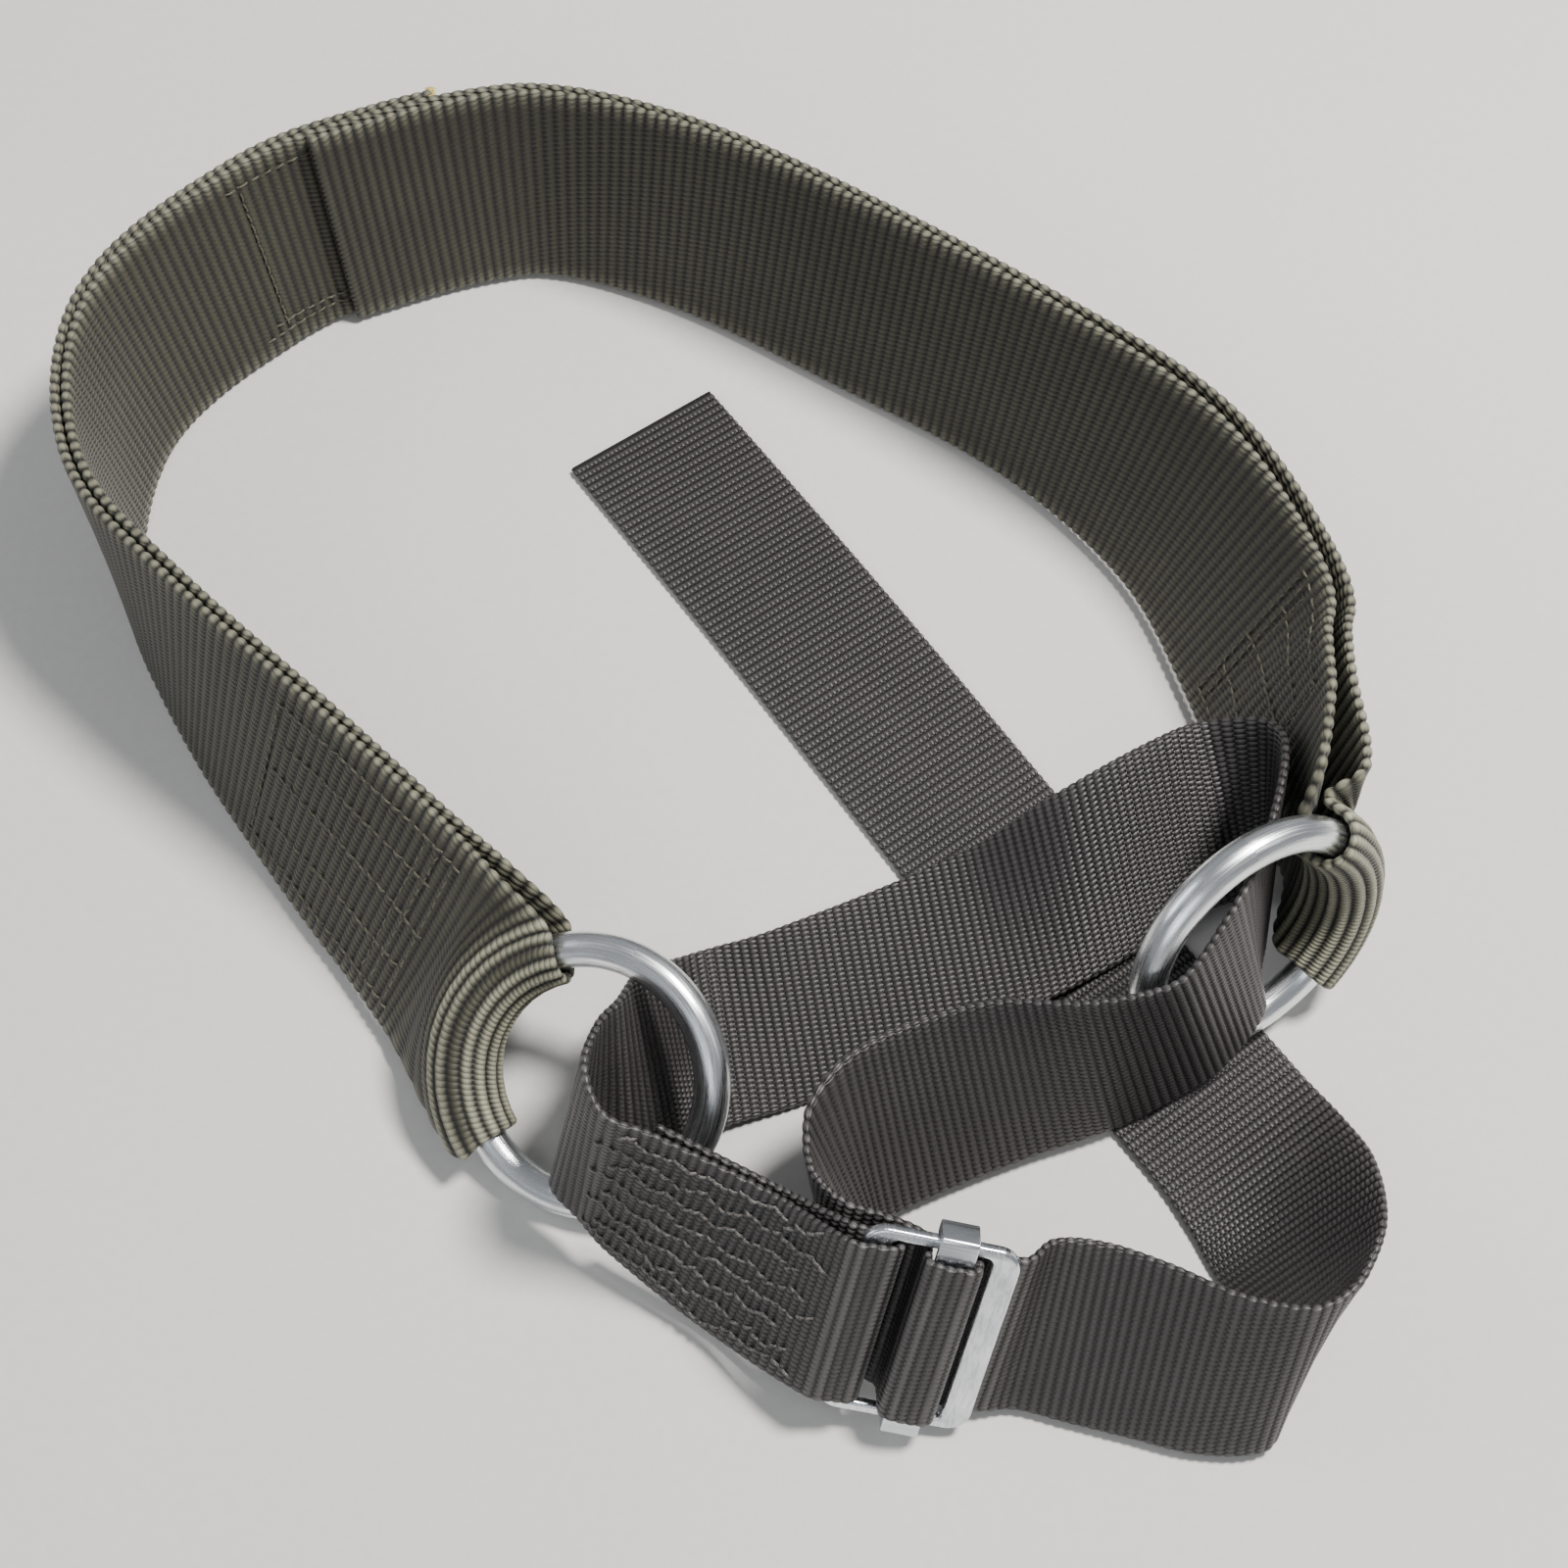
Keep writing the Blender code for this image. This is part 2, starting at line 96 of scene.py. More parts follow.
SHIFT = middle_of("ring_left") - np.array(LEFT_RING["at"])
print("shift, mm", SHIFT.round(2))

# %% [markdown]
# ## The way that the webbing takes
# Webbing can bend and twist, but it can't stretch, so it is described by the places of its
# cross sections: where the middle or lower edge is, and how the section leans. The rows are
# chosen by hand, as shares of a width or of one named length, and repeat the CAD source's.

# %% Rows of the thigh loop
# x, y of the lower edge as shares of BAND_W, and degrees that the top leans outwards
BAND_ROWS = (
    ("beside the left ring", -1.50, -1.15, -35),
    ("left flank", -2.00, -0.50, -26),
    ("left flank", -2.50, 0.25, -12),
    ("left bulge", -2.80, 0.95, 2),
    ("left bulge", -2.75, 1.70, 10),
    ("back left turn", -2.30, 2.25, 12),
    ("back, the stitched lap", -1.75, 2.55, 12),
    ("back, past the lap", -1.15, 2.70, 12),
    ("back", -0.50, 2.50, 14),
    ("back right", 0.25, 2.05, 15),
    ("back right turn", 1.00, 1.55, 14),
    ("right flank", 1.50, 1.00, 21),
    ("right flank", 1.74, 0.40, 25),
    ("right flank", 1.82, 0.10, 20),
    ("beside the right ring", 1.92, -0.15, 13),
)
LAST_ROW = len(BAND_ROWS) - 1
# degrees round the wire, and the arc of the ring that is covered, from its lowest point
LEFT_TURNS, LEFT_ARC = (88, 90, 120, 150, 180, 210, 240, 270, 272), (326, 214)
RIGHT_TURNS, RIGHT_ARC = (0, 0, 30, 60, 90, 120, 150, 180, 180), (32, 130)
# in rows of the table: where the lap starts and ends, and where the plies part at the rings
LAP_FROM, LAP_TO, LAP_EASE, LAP_SLACK = 5.6, 6.5, 0.5, 0.1
PARTED_LEFT, PARTED_RIGHT, PARTING = 0.5, 4.4, 1.4
ROW_STEP = 0.25
# x, y, z, rib azimuth and rib tilt where the two plies have parted before the right ring
NECK_OUTER = (2.15, -0.45, 0.52, -35, 88)
NECK_INNER = (2.02, -0.45, 0.51, 205, 87)

# %% Rows of the pulling strap
# x and y of the middle as shares of LAY, z as a share of STRAP_W, azimuth and tilt from the
# lower to the upper edge
TAB_ROWS = (
    ("tab, by the buckle", 0.15, -3.15, 0.46, 58, 55),
    ("tab, middle", -0.25, -2.87, 0.53, 52, 58),
    ("tab, by the left ring", -0.75, -2.59, 0.67, 46, 68),
)
RUN_ROWS = (
    ("over the left ring's wire", -0.93, -2.48, 0.72, 50, 75),
    ("left bend", -1.05, -2.27, 0.73, 50, 70),
    ("left bend", -0.93, -2.04, 0.63, 77, 70),
    ("left bend", -0.79, -1.95, 0.53, 95, 60),
    ("going flat", -0.63, -1.80, 0.34, 105, 34),
    ("lying flat", -0.43, -1.56, 0.08, 100, 0),
    ("lying flat", 0.02, -1.40, 0.045, 100, 0),
    ("rising over the tail", 1.05, -0.98, 0.13, 100, 2),
    ("over the tail", 1.60, -0.74, 0.33, 104, 28),
    ("over the tail", 2.13, -0.43, 0.36, 105, 36),
    ("right bend", 2.37, -0.34, 0.34, 106, 36),
    ("right bend", 2.56, -0.38, 0.45, 95, 48),
    ("right bend", 2.58, -0.53, 0.58, 92, 63),
    ("entering the right ring", 2.46, -0.99, 0.71, 115, 76),
    ("in the right ring", 2.38, -1.22, 0.76, 130, 76),
    ("leaving the right ring", 2.33, -1.40, 0.75, 150, 71),
    ("turning back", 2.13, -1.66, 0.64, 162, 71),
    ("turning back", 1.99, -1.75, 0.60, 158, 71),
    ("standing on its edge", 1.59, -1.88, 0.54, 130, 67),
    ("standing on its edge", 1.14, -1.94, 0.49, 113, 56),
    ("standing on its edge", 0.73, -2.07, 0.46, 110, 51),
    ("inner bend", 0.41, -2.24, 0.47, 110, 53),
    ("inner bend", 0.28, -2.40, 0.47, 128, 60),
    ("inner bend", 0.24, -2.53, 0.48, 138, 68),
    ("behind the tab", 0.19, -2.68, 0.49, 120, 76),
)
OUT_ROWS = (
    ("out of the buckle", 1.20, -3.17, 0.43, 75, 51),
    ("front run", 1.45, -3.20, 0.40, 78, 46),
    ("front run", 1.73, -3.29, 0.42, 77, 49),
    ("front run", 2.07, -3.42, 0.46, 76, 56),
    ("outer bend", 2.38, -3.45, 0.49, 75, 62),
    ("outer bend", 2.49, -3.36, 0.49, 62, 65),
    ("outer bend", 2.52, -3.20, 0.46, 38, 59),
    ("laying itself down", 2.57, -2.88, 0.40, 25, 49),
    ("laying itself down", 2.53, -2.55, 0.23, 29, 25),
    ("laying itself down", 2.46, -2.31, 0.10, 34, 8),
    ("tail, flat", 2.30, -2.03, 0.03, 36, 0),
    ("tail, flat", 1.68, -1.20, 0.03, 37, 0),
    ("tail, flat", 0.10, 1.06, 0.03, 36, 0),
    ("tail end", -0.85, 2.37, 0.03, 35, 0),
)

# %% [markdown]
# ## From rows to a grid
# A section is a straight line across the webbing, with more points near its two selvages,
# where the edge is round. The loft joins the sections on smooth curves. It also says at
# which row each section came out, so that a seam can later be sewn between two of them.

# %% Sections and loft
def unit(v):
    v = np.asarray(v, float)
    return v / np.linalg.norm(v)


def rib_direction(azimuth, tilt):
    a, t = math.radians(azimuth), math.radians(tilt)
    return np.array([math.cos(a) * math.cos(t), math.sin(a) * math.cos(t), math.sin(t)])


def shares_across(inside, width):
    """Places of the columns, from 0 to 1: close together on the round selvages, even inside."""
    selvage = np.array([0, 0.35, 0.95]) / width
    middle = np.linspace(0, 1, inside + 2)[1:-1]
    return np.concatenate([selvage, middle, 1 - selvage[::-1]])


def section(middle, across, width, shares):
    return np.asarray(middle, float) + (shares[:, None] - 0.5) * width * across


def loft(sections, step):
    """Rows on a smooth curve through the sections, and the row at which each section lies."""
    s = [np.asarray(a, float) for a in sections]
    mid = [a.mean(0) for a in s]
    knots = np.concatenate([[0], np.cumsum([max(np.linalg.norm(b - a), 0.01)
                                            for a, b in zip(mid, mid[1:])])])
    slopes = []
    for i in range(len(s)):
        lo, hi = max(i - 1, 0), min(i + 1, len(s) - 1)
        slopes.append((s[hi] - s[lo]) / (knots[hi] - knots[lo]))
    out, at = [], []
    for i in range(len(s) - 1):
        at.append(len(out))
        span = knots[i + 1] - knots[i]
        for u in np.arange(max(1, round(span / step))) / max(1, round(span / step)):
            out.append((2 * u**3 - 3 * u**2 + 1) * s[i] + (u**3 - 2 * u**2 + u) * span * slopes[i]
                       + (3 * u**2 - 2 * u**3) * s[i + 1] + (u**3 - u**2) * span * slopes[i + 1])
    at.append(len(out))
    out.append(s[-1])
    return np.array(out), at


def lengths_of(grid):
    """Distance along the middle of the webbing to each row."""
    steps = np.linalg.norm(np.diff(grid[:, grid.shape[1] // 2], axis=0), axis=1)
    return np.append(0, np.cumsum(steps))


def evenly(grid, step):
    """The same webbing with its rows the same distance apart."""
    s = lengths_of(grid)
    rows = np.linspace(0, s[-1], round(s[-1] / step) + 1)
    flat = grid.reshape(len(grid), -1)
    even = np.stack([np.interp(rows, s, column) for column in flat.T], axis=1)
    return even.reshape(len(rows), *grid.shape[1:])


# %% [markdown]
# ## The way round a ring
# The wide webbing bends round the wire, and its width follows the ring's own arc. So each
# point of a section is found from two angles, one round the ring and one round the wire.

# %% Ring axes and the bend round the wire
def ring_axes(ring):
    """Steepest direction up in the ring's plane, the level one, and its axis."""
    n = unit(ring["normal"])
    up = unit(np.array([0, 0, 1]) - n * n[2])
    return up, np.cross(n, up), n


def wire_loop(ring, arc, turns, shares, lead):
    """Sections that lie along this arc of the wire, at these turns round it. The first and
    the last are moved by lead: away from the ring's middle, and along its axis."""
    up, level, n = ring_axes(ring)
    low, high = arc
    out = []
    for count, turn in enumerate(turns):
        psi = math.radians(turn)
        out_by, along_by = lead if count in (0, len(turns) - 1) else (0.0, 0.0)
        phi = np.radians(low + shares * (high - low))[:, None]
        away = -(up * np.cos(phi) + level * np.sin(phi))
        wire = np.array(ring["at"]) + RING_MID * away
        out.append(wire + LOOP_R * (math.cos(psi) * away + math.sin(psi) * n)
                   + out_by * away + along_by * n)
    return out


def smooth(u):
    u = np.clip(u, 0, 1)
    return u * u * (3 - 2 * u)


class Path:
    """The sections of a webbing in their order, each with its leg and a number in that leg."""

    def __init__(self):
        self.sections, self.legs = [], []

    def put(self, leg, number, one):
        self.sections.append(one)
        self.legs.append((leg, number))

    def follow(self, leg, sections):
        for number, one in enumerate(sections):
            self.put(leg, number, one)


# %% [markdown]
# ## The thigh loop
# The real one is a single length of webbing, laid double. It starts in the lap at the back,
# goes round the left ring, comes back inside, goes round the right ring, and ends in the
# lap again. The same path is walked here, one ply after the other, with 0.3 mm between them.

# %% Path of the thigh loop
def band_path(shares):
    """Path of the band; a section's number is its row in the table, or counts up."""
    rows = np.array([(x * BAND_W, y * BAND_W, math.radians(lean)) for _, x, y, lean in BAND_ROWS])

    def row_at(i):
        k = min(int(i), LAST_ROW - 1)
        u = i - k
        a, b = rows[k], rows[k + 1]
        before, after = rows[max(k - 1, 0)], rows[min(k + 2, LAST_ROW)]
        return (a + 0.5 * u * (b - before + u * (2 * before - 5 * a + 4 * b - after
                                                 + u * (3 * (a - b) + after - before))))

    def ply(i, shift):
        """Section of a ply that lies this far outside the middle of the band."""
        x, y, lean = row_at(i)
        t = unit((row_at(min(i + 0.1, LAST_ROW)) - row_at(max(i - 0.1, 0)))[:2])
        o = np.array([-t[1], t[0], 0.0])
        up = o * math.sin(lean) + np.array([0, 0, math.cos(lean)])
        out = o * math.cos(lean) - np.array([0, 0, math.sin(lean)])
        foot = np.array([x, y, BAND_T * abs(math.sin(lean)) + GAP])
        return section(foot + up * BAND_W / 2 + out * shift, up, BAND_W, shares)

    def before_lap(i):
        return 1 - smooth((i - LAP_FROM + LAP_EASE + LAP_SLACK) / LAP_EASE)

    def past_lap(i):
        return smooth((i - LAP_TO - LAP_SLACK) / LAP_EASE)

    def splay(i):
        return (SPLAY * (1 - smooth(i / PARTED_LEFT))
                + SPLAY * smooth((i - LAST_ROW + PARTED_RIGHT) / PARTING))

    path = Path()
    for i in np.append(np.arange(0, LAP_TO - LAP_SLACK, ROW_STEP), LAP_TO)[::-1]:
        path.put("outer, left half", i, ply(i, PLY - PLY / 2 * before_lap(i) + splay(i)))
    path.follow("left ring", wire_loop(LEFT_RING, LEFT_ARC, LEFT_TURNS, shares, (LEFT_LEAD, 0.0)))
    for i in np.linspace(0, LAST_ROW, round(LAST_ROW / ROW_STEP) + 1):
        side = 1 if i > LAP_TO else -1
        shift = PLY / 2 * past_lap(i) - PLY / 2 * before_lap(i) + side * splay(i)
        path.put("through the lap", i, ply(i, shift))
    for count, (x, y, z, azimuth, tilt) in enumerate((NECK_OUTER, NECK_INNER)):
        path.put("neck", count, section(np.array([x, y, z]) * BAND_W, rib_direction(azimuth, tilt),
                                        BAND_W, shares))
        if count == 0:
            path.follow("right ring", wire_loop(RIGHT_RING, RIGHT_ARC, RIGHT_TURNS, shares,
                                                (0.0, -RIGHT_LEAD)))
    for i in np.append(np.arange(LAST_ROW, LAP_FROM + LAP_SLACK, -ROW_STEP), LAP_FROM):
        path.put("inner, right half", i, ply(i, PLY / 2 * past_lap(i) - PLY - splay(i)))
    return path


# %% [markdown]
# ## The pulling strap
# Its end is sewn back on itself to hold the buckle: that doubled piece is the tab. From there
# it goes through the left ring, over its own tail to the right ring, back behind the tab,
# over the buckle's sliding bar, and out as the free tail.

# %% Path of the pulling strap
def buckle_axes():
    along = unit(BUCKLE["along"])
    slot = unit(np.array(BUCKLE["slot"]) - along * (along @ unit(BUCKLE["slot"])))
    return along, slot, np.cross(along, slot)


def strap_path(shares):
    """Path of the strap. Places in the buckle are mm along it and out of its face."""
    along, slot, front = buckle_axes()
    at = np.array(BUCKLE["at"])

    def in_buckle(s, n):
        return section(at + along * s + front * n, slot, STRAP_W, shares)

    def sections_of(rows):
        return [section((x * LAY, y * LAY, z * STRAP_W), rib_direction(az, tilt), STRAP_W, shares)
                for _, x, y, z, az, tilt in rows]

    over_rail = FRAME_T / 2 + GAP + STRAP_T / 2
    rail_edge = -FRAME_L / 2 + RAIL
    tab = sections_of(TAB_ROWS)
    ahead = sections_of(RUN_ROWS[:1])
    under = []
    for k, t in enumerate(tab):
        before, after = tab[max(k - 1, 0)], (tab + ahead)[k + 1]
        n = unit(np.cross(after.mean(0) - before.mean(0), t[-1] - t[0]))
        under.append(t + n * (1 if n[1] > 0 else -1) * TAB_PLY)
    path = Path()
    path.follow("under ply", [
        under[-1], under[1], in_buckle(-FRAME_L / 2 - 1.5, -over_rail - 0.2),
        in_buckle(rail_edge - 2, -over_rail),
        *(in_buckle(rail_edge - 0.6 + over_rail * math.cos(a), over_rail * math.sin(a))
          for a in np.radians((-60, -20, 20, 60))),
        in_buckle(rail_edge - 2, over_rail), in_buckle(-FRAME_L / 2 - 1.5, over_rail + 0.1)])
    path.follow("tab", tab[1:])
    path.follow("run", sections_of(RUN_ROWS))
    bar_over = FRAME_T / 2 + GAP + BAR_T + GAP + STRAP_T / 2
    left = BAR_AT - BAR_L / 2 - GAP - STRAP_T / 2
    right = BAR_AT + BAR_L / 2 + GAP + STRAP_T / 2
    behind = -over_rail - TAB_PLY
    path.follow("buckle", [in_buckle(s, n) for s, n in (
        (-FRAME_L / 2 - 3, behind - 3.5), (rail_edge - 2, behind - 2.2),
        (left - 0.9, behind + 0.4), (left, -0.4), (left + 0.1, bar_over - 1.2),
        (left + 1.4, bar_over), (right - 1.4, bar_over), (right - 0.1, bar_over - 1.2),
        (right, -0.2), (right + 1.2, -over_rail + 0.1),
        (FRAME_L / 2 - RAIL / 2, -over_rail), (FRAME_L / 2 + 1.5, -over_rail - 0.2))])
    path.follow("tail", sections_of(OUT_ROWS))
    return path


# %% [markdown]
# ## Meshes and objects
# Every piece ends as one mesh, and these few steps come back for most of them.

# %% Helpers for meshes and objects
def quads(*corners):
    return np.stack(corners, -1).reshape(-1, 4)


def shade_smooth(mesh):
    mesh.polygons.foreach_set("use_smooth", np.ones(len(mesh.polygons), bool))


def map_points(mesh, name, uv):
    """UV map in which every corner has the place of its point."""
    corner = np.empty(len(mesh.loops), np.int32)
    mesh.loops.foreach_get("vertex_index", corner)
    layer = mesh.uv_layers.get(name) or mesh.uv_layers.new(name=name)
    layer.data.foreach_set("uv", uv[corner].astype(np.float32).ravel())


def face_outwards(mesh, join_within=None):
    bm = bmesh.new()
    bm.from_mesh(mesh)
    if join_within:
        bmesh.ops.remove_doubles(bm, verts=bm.verts, dist=join_within)
    bmesh.ops.recalc_face_normals(bm, faces=bm.faces)
    bm.to_mesh(mesh)
    bm.free()


def triangles(mesh):
    return sum(len(p.vertices) - 2 for p in mesh.polygons)


def linked(name, data):
    obj = bpy.data.objects.new(name, data)
    bpy.context.scene.collection.objects.link(obj)
    return obj


def add(name, mesh, material):
    mesh.materials.clear()
    mesh.materials.append(material)
    return linked(name, mesh)


def frozen(obj):
    """Mesh of an object as its curve or its modifier makes it."""
    bpy.context.view_layer.update()
    return bpy.data.meshes.new_from_object(
        obj.evaluated_get(bpy.context.evaluated_depsgraph_get()))


# %% [markdown]
# ## Ribbed cloth
# This webbing is woven with thick weft cords, so ribs run across it. Each rib is a round back
# with a narrow groove beside it, and where the webbing bends, the ribs on the outside open
# like a fan and those inside close up. A bump map would stay flat at the selvage, where the
# ribs show as teeth, so the ribs are real relief: five rows of points to each of them.
#
# How far a rib opens follows from the bend itself, measured on the grid.

# %% The relief, and how far the webbing bends
FULLY_OPEN = 0.12      # bend, in 1 / mm, at which the ribs outside it have opened all the way
CLOSED_UP = -0.6       # share of that by which the ribs inside a bend may close up
TOOTH = 0.3            # how far the gap between two ribs steps in at the selvage
MELTED, SELVAGE = 1.6, 2.2        # widths of the melted edge and of the worn selvage
BLUR_ROWS = 9
RIB_POWER = 0.8        # under 1 makes the backs of the ribs broad and the grooves narrow
SELVAGE_ROUND = 0.93   # 1 would bring the two faces together on a sharp line
OUTERMOST = 0.985      # beyond this share of the half width a point belongs to the teeth


def face_normals(grid):
    n = np.cross(np.gradient(grid, axis=0), np.gradient(grid, axis=1))
    return n / np.linalg.norm(n, axis=2)[..., None]


def blurred(values, rows):
    kernel = np.hanning(rows + 2)[1:-1]
    padded = np.pad(values, rows // 2, mode="edge")
    return np.convolve(padded, kernel / kernel.sum(), mode="valid")[:len(values)]


def bend_of(grid, n, step):
    """Curvature, in 1 / mm, of each row: above 0 where the side that n points to is outside."""
    mid = grid.shape[1] // 2
    line = grid[:, mid]
    second = np.gradient(np.gradient(line, axis=0), axis=0) / step**2
    return blurred(-(second * n[:, mid]).sum(1), BLUR_ROWS)


# %% Webbing with real ribs
class Webbing:
    """A length of ribbed webbing: its even grid, its normals, and where each section lies."""

    def __init__(self, path, width, thick, pitch, shares, grooves):
        step = pitch / ROWS_PER_RIB
        rough, at = loft(path.sections, step)
        rough[..., 2] = np.maximum(rough[..., 2], thick / 2 + FLOOR_GAP)
        along = lengths_of(rough)
        self.legs = [(leg, number, along[row]) for (leg, number), row in zip(path.legs, at)]
        self.grid = evenly(rough, step)
        self.n = face_normals(self.grid)
        self.s = lengths_of(self.grid)
        self.width, self.thick, self.shares = width, thick, shares
        self.bend = bend_of(self.grid, self.n, step)
        self.depth, self.opened = grooves
        self.spread = np.zeros(len(self.s))

    def spread_ribs(self, start, end, amount, ease=8.0):
        """Opens the ribs on both faces between two lengths, where the cloth is pulled askew; this also
        spreads the painted highlight on the rib backs.
        """
        self.spread += amount * smooth((self.s - start) / ease) * smooth((end - self.s) / ease)

    def at(self, leg, number):
        """Length along the webbing at this number of a leg."""
        found = sorted((k, s) for name, k, s in self.legs if name == leg)
        return float(np.interp(number, [k for k, _ in found], [s for _, s in found]))

    def side_towards(self, s, way):
        """1 or -1: the face that looks this way at this length."""
        row = min(int(s / self.s[-1] * (len(self.s) - 1)), len(self.s) - 1)
        return 1 if self.n[row, len(self.shares) // 2] @ np.asarray(way, float) > 0 else -1

    def heights(self, side):
        """Height over the middle of the cloth, how high on a rib, and how far it is opened."""
        phase = np.arange(len(self.s)) / ROWS_PER_RIB % 1
        rib = np.abs(np.sin(math.pi * phase)) ** RIB_POWER
        open_by = np.clip(side * self.bend / FULLY_OPEN + self.spread, CLOSED_UP, 1)
        depth = self.depth + (self.opened - self.depth) * open_by
        edge = np.minimum(self.shares, 1 - self.shares) * self.width / (self.thick / 2)
        roundness = np.sqrt(1 - SELVAGE_ROUND * (1 - np.clip(edge, 0, 1)) ** 2)
        height = (self.thick / 2 - depth * (1 - rib))[:, None] * roundness
        return height, np.repeat(rib[:, None], len(self.shares), 1), open_by

    def on_face(self, s, share, side, lift=0.0):
        """Point, direction along and outward normal of a place on one face."""
        i = np.clip(s / self.s[-1] * (len(self.s) - 1), 0, len(self.s) - 1.001)
        j = np.interp(share, self.shares, np.arange(len(self.shares)))
        a, b, c, d = int(i), int(j), i - int(i), j - int(j)
        b = min(b, len(self.shares) - 2)

        def mixed(field):
            return ((field[a, b] * (1 - d) + field[a, b + 1] * d) * (1 - c)
                    + (field[a + 1, b] * (1 - d) + field[a + 1, b + 1] * d) * c)

        n = unit(mixed(self.n)) * side
        along = unit(self.grid[min(a + 3, len(self.s) - 1), b] - self.grid[max(a - 3, 0), b])
        across = unit(self.grid[a, -1] - self.grid[a, 0])
        return mixed(self.grid) + n * (self.thick / 2 + lift), along, across, n

    def mesh(self, name):
        """Closed mesh with ribs on both faces, its UV map in metres, and rib attributes."""
        count, columns = self.grid.shape[:2]
        top, rib, open_top = self.heights(1)
        low, _, open_low = self.heights(-1)
        teeth = TOOTH * (1 - rib) * (np.abs(self.shares * 2 - 1) > OUTERMOST)
        inward = ((self.grid[:, -1:] - self.grid[:, :1]) / self.width
                  * np.sign(0.5 - self.shares)[:, None])
        middle = self.grid + inward * teeth[..., None]
        points = np.concatenate([(middle + self.n * top[..., None]).reshape(-1, 3),
                                 (middle - self.n * low[..., None]).reshape(-1, 3)])
        a = np.arange(count * columns).reshape(count, columns)
        b = a + count * columns
        faces = np.concatenate([quads(a[:-1, :-1], a[1:, :-1], a[1:, 1:], a[:-1, 1:]),
                                quads(b[:-1, :-1], b[:-1, 1:], b[1:, 1:], b[1:, :-1]),
                                quads(a[:-1, 0], b[:-1, 0], b[1:, 0], a[1:, 0]),
                                quads(a[:-1, -1], a[1:, -1], b[1:, -1], b[:-1, -1]),
                                quads(a[0, :-1], a[0, 1:], b[0, 1:], b[0, :-1]),
                                quads(a[-1, :-1], b[-1, :-1], b[-1, 1:], a[-1, 1:])])
        made = bpy.data.meshes.new(name)
        made.from_pydata(((points + SHIFT) * MM).tolist(), [], faces.tolist())
        made.update()
        map_points(made, "along_and_across", np.stack([
            np.tile(np.repeat(self.s, columns), 2) * MM,
            np.tile(self.shares * self.width, 2 * count) * MM], 1))
        # opened also sets, in the material, how far the painted highlight covers the rib backs.
        opened = np.concatenate([np.repeat(open_top, columns), np.repeat(open_low, columns)])
        from_end = np.minimum(self.s, self.s[-1] - self.s)
        from_side = np.minimum(self.shares, 1 - self.shares) * self.width
        for label, values in (
                ("rib", np.tile(rib.ravel(), 2)), ("opened", np.clip(opened, 0, 1)),
                ("sealed", np.tile(np.repeat(1 - smooth(from_end / MELTED), columns), 2)),
                ("selvage", np.tile(1 - smooth(from_side / SELVAGE), 2 * count))):
            made.attributes.new(label, "FLOAT", "POINT").data.foreach_set(
                "value", values.astype(np.float32))
        shade_smooth(made)
        return made


# %% [markdown]
# ## Cloth finishes
# Seen close, every rib is wrapped by rows of twisted warp yarn. The material adds them: a
# fine wave across the webbing, shifted by half a yarn from one rib to the next, as a plain
# weave does. With the rib attribute of the mesh, the material paints shade into the grooves and
# into the gaps between yarns. It also paints a pale highlight on the rib backs where the ribs
# are opened. Slow noise makes the dye uneven. Sheen gives the soft rim of nylon fibres.
# The patterns follow the UV map, which is in metres along and across the webbing.

# %% Helpers for node trees
class Tree:
    """A node tree, with short calls for what the finishes and the stitches share."""

    def __init__(self, tree):
        self.tree = tree

    def add(self, kind, inputs=(), **settings):
        """A new node with these settings; inputs are given by their names or numbers."""
        node = self.tree.nodes.new(kind)
        for key, value in settings.items():
            setattr(node, key, value)
        for key, value in dict(inputs).items():
            self.feed(node.inputs[key], value)
        return node

    def feed(self, socket, value):
        """Joins another socket to this one, or a node's first output, or sets a value."""
        if isinstance(value, bpy.types.Node):
            value = value.outputs[0]
        if isinstance(value, bpy.types.NodeSocket):
            self.tree.links.new(value, socket)
        else:
            socket.default_value = value

    def math(self, operation, *values):
        return self.add("ShaderNodeMath", enumerate(values), operation=operation).outputs[0]

    def times(self, a, b):
        return self.math("MULTIPLY", a, b)


# %% The tree of a material
class Finish(Tree):
    """A material and its tree, with the nodes that the finishes are made of."""

    def __init__(self, name):
        self.material = bpy.data.materials.new(name)
        self.material.use_nodes = True
        super().__init__(self.material.node_tree)

    def surface(self, inputs):
        """Sets or feeds inputs of the shader, and gives the finished material."""
        shader = self.tree.nodes["Principled BSDF"]
        for label, value in inputs.items():
            self.feed(shader.inputs[label], value)
        return self.material

    def attribute(self, name):
        return self.add("ShaderNodeAttribute", attribute_name=name).outputs["Fac"]

    def uv(self, name):
        return self.add("ShaderNodeUVMap", uv_map=name).outputs["UV"]

    def place(self):
        return self.add("ShaderNodeTexCoord").outputs["Object"]

    def ramp(self, value, low, high, to_low=0.0, to_high=1.0):
        return self.add("ShaderNodeMapRange", {
            "Value": value, "From Min": low, "From Max": high,
            "To Min": to_low, "To Max": to_high}).outputs["Result"]

    def mix(self, share, a, b):
        a, b = ((*c, 1) if isinstance(c, tuple) else c for c in (a, b))
        return self.add("ShaderNodeMix", {0: share, 6: a, 7: b}, data_type="RGBA").outputs[2]

    def noise(self, vector, scale, detail=3.0, roughness=0.5):
        return self.add("ShaderNodeTexNoise", {"Vector": vector, "Scale": scale, "Detail": detail,
                                               "Roughness": roughness}).outputs["Fac"]

    def stretched(self, vector, scale):
        return self.add("ShaderNodeMapping", {"Vector": vector, "Scale": scale}).outputs["Vector"]

    def bump(self, height, distance, strength=1.0, before=None):
        under = {} if before is None else {"Normal": before}
        return self.add("ShaderNodeBump", {"Strength": strength, "Distance": distance,
                                           "Height": height, **under}).outputs["Normal"]


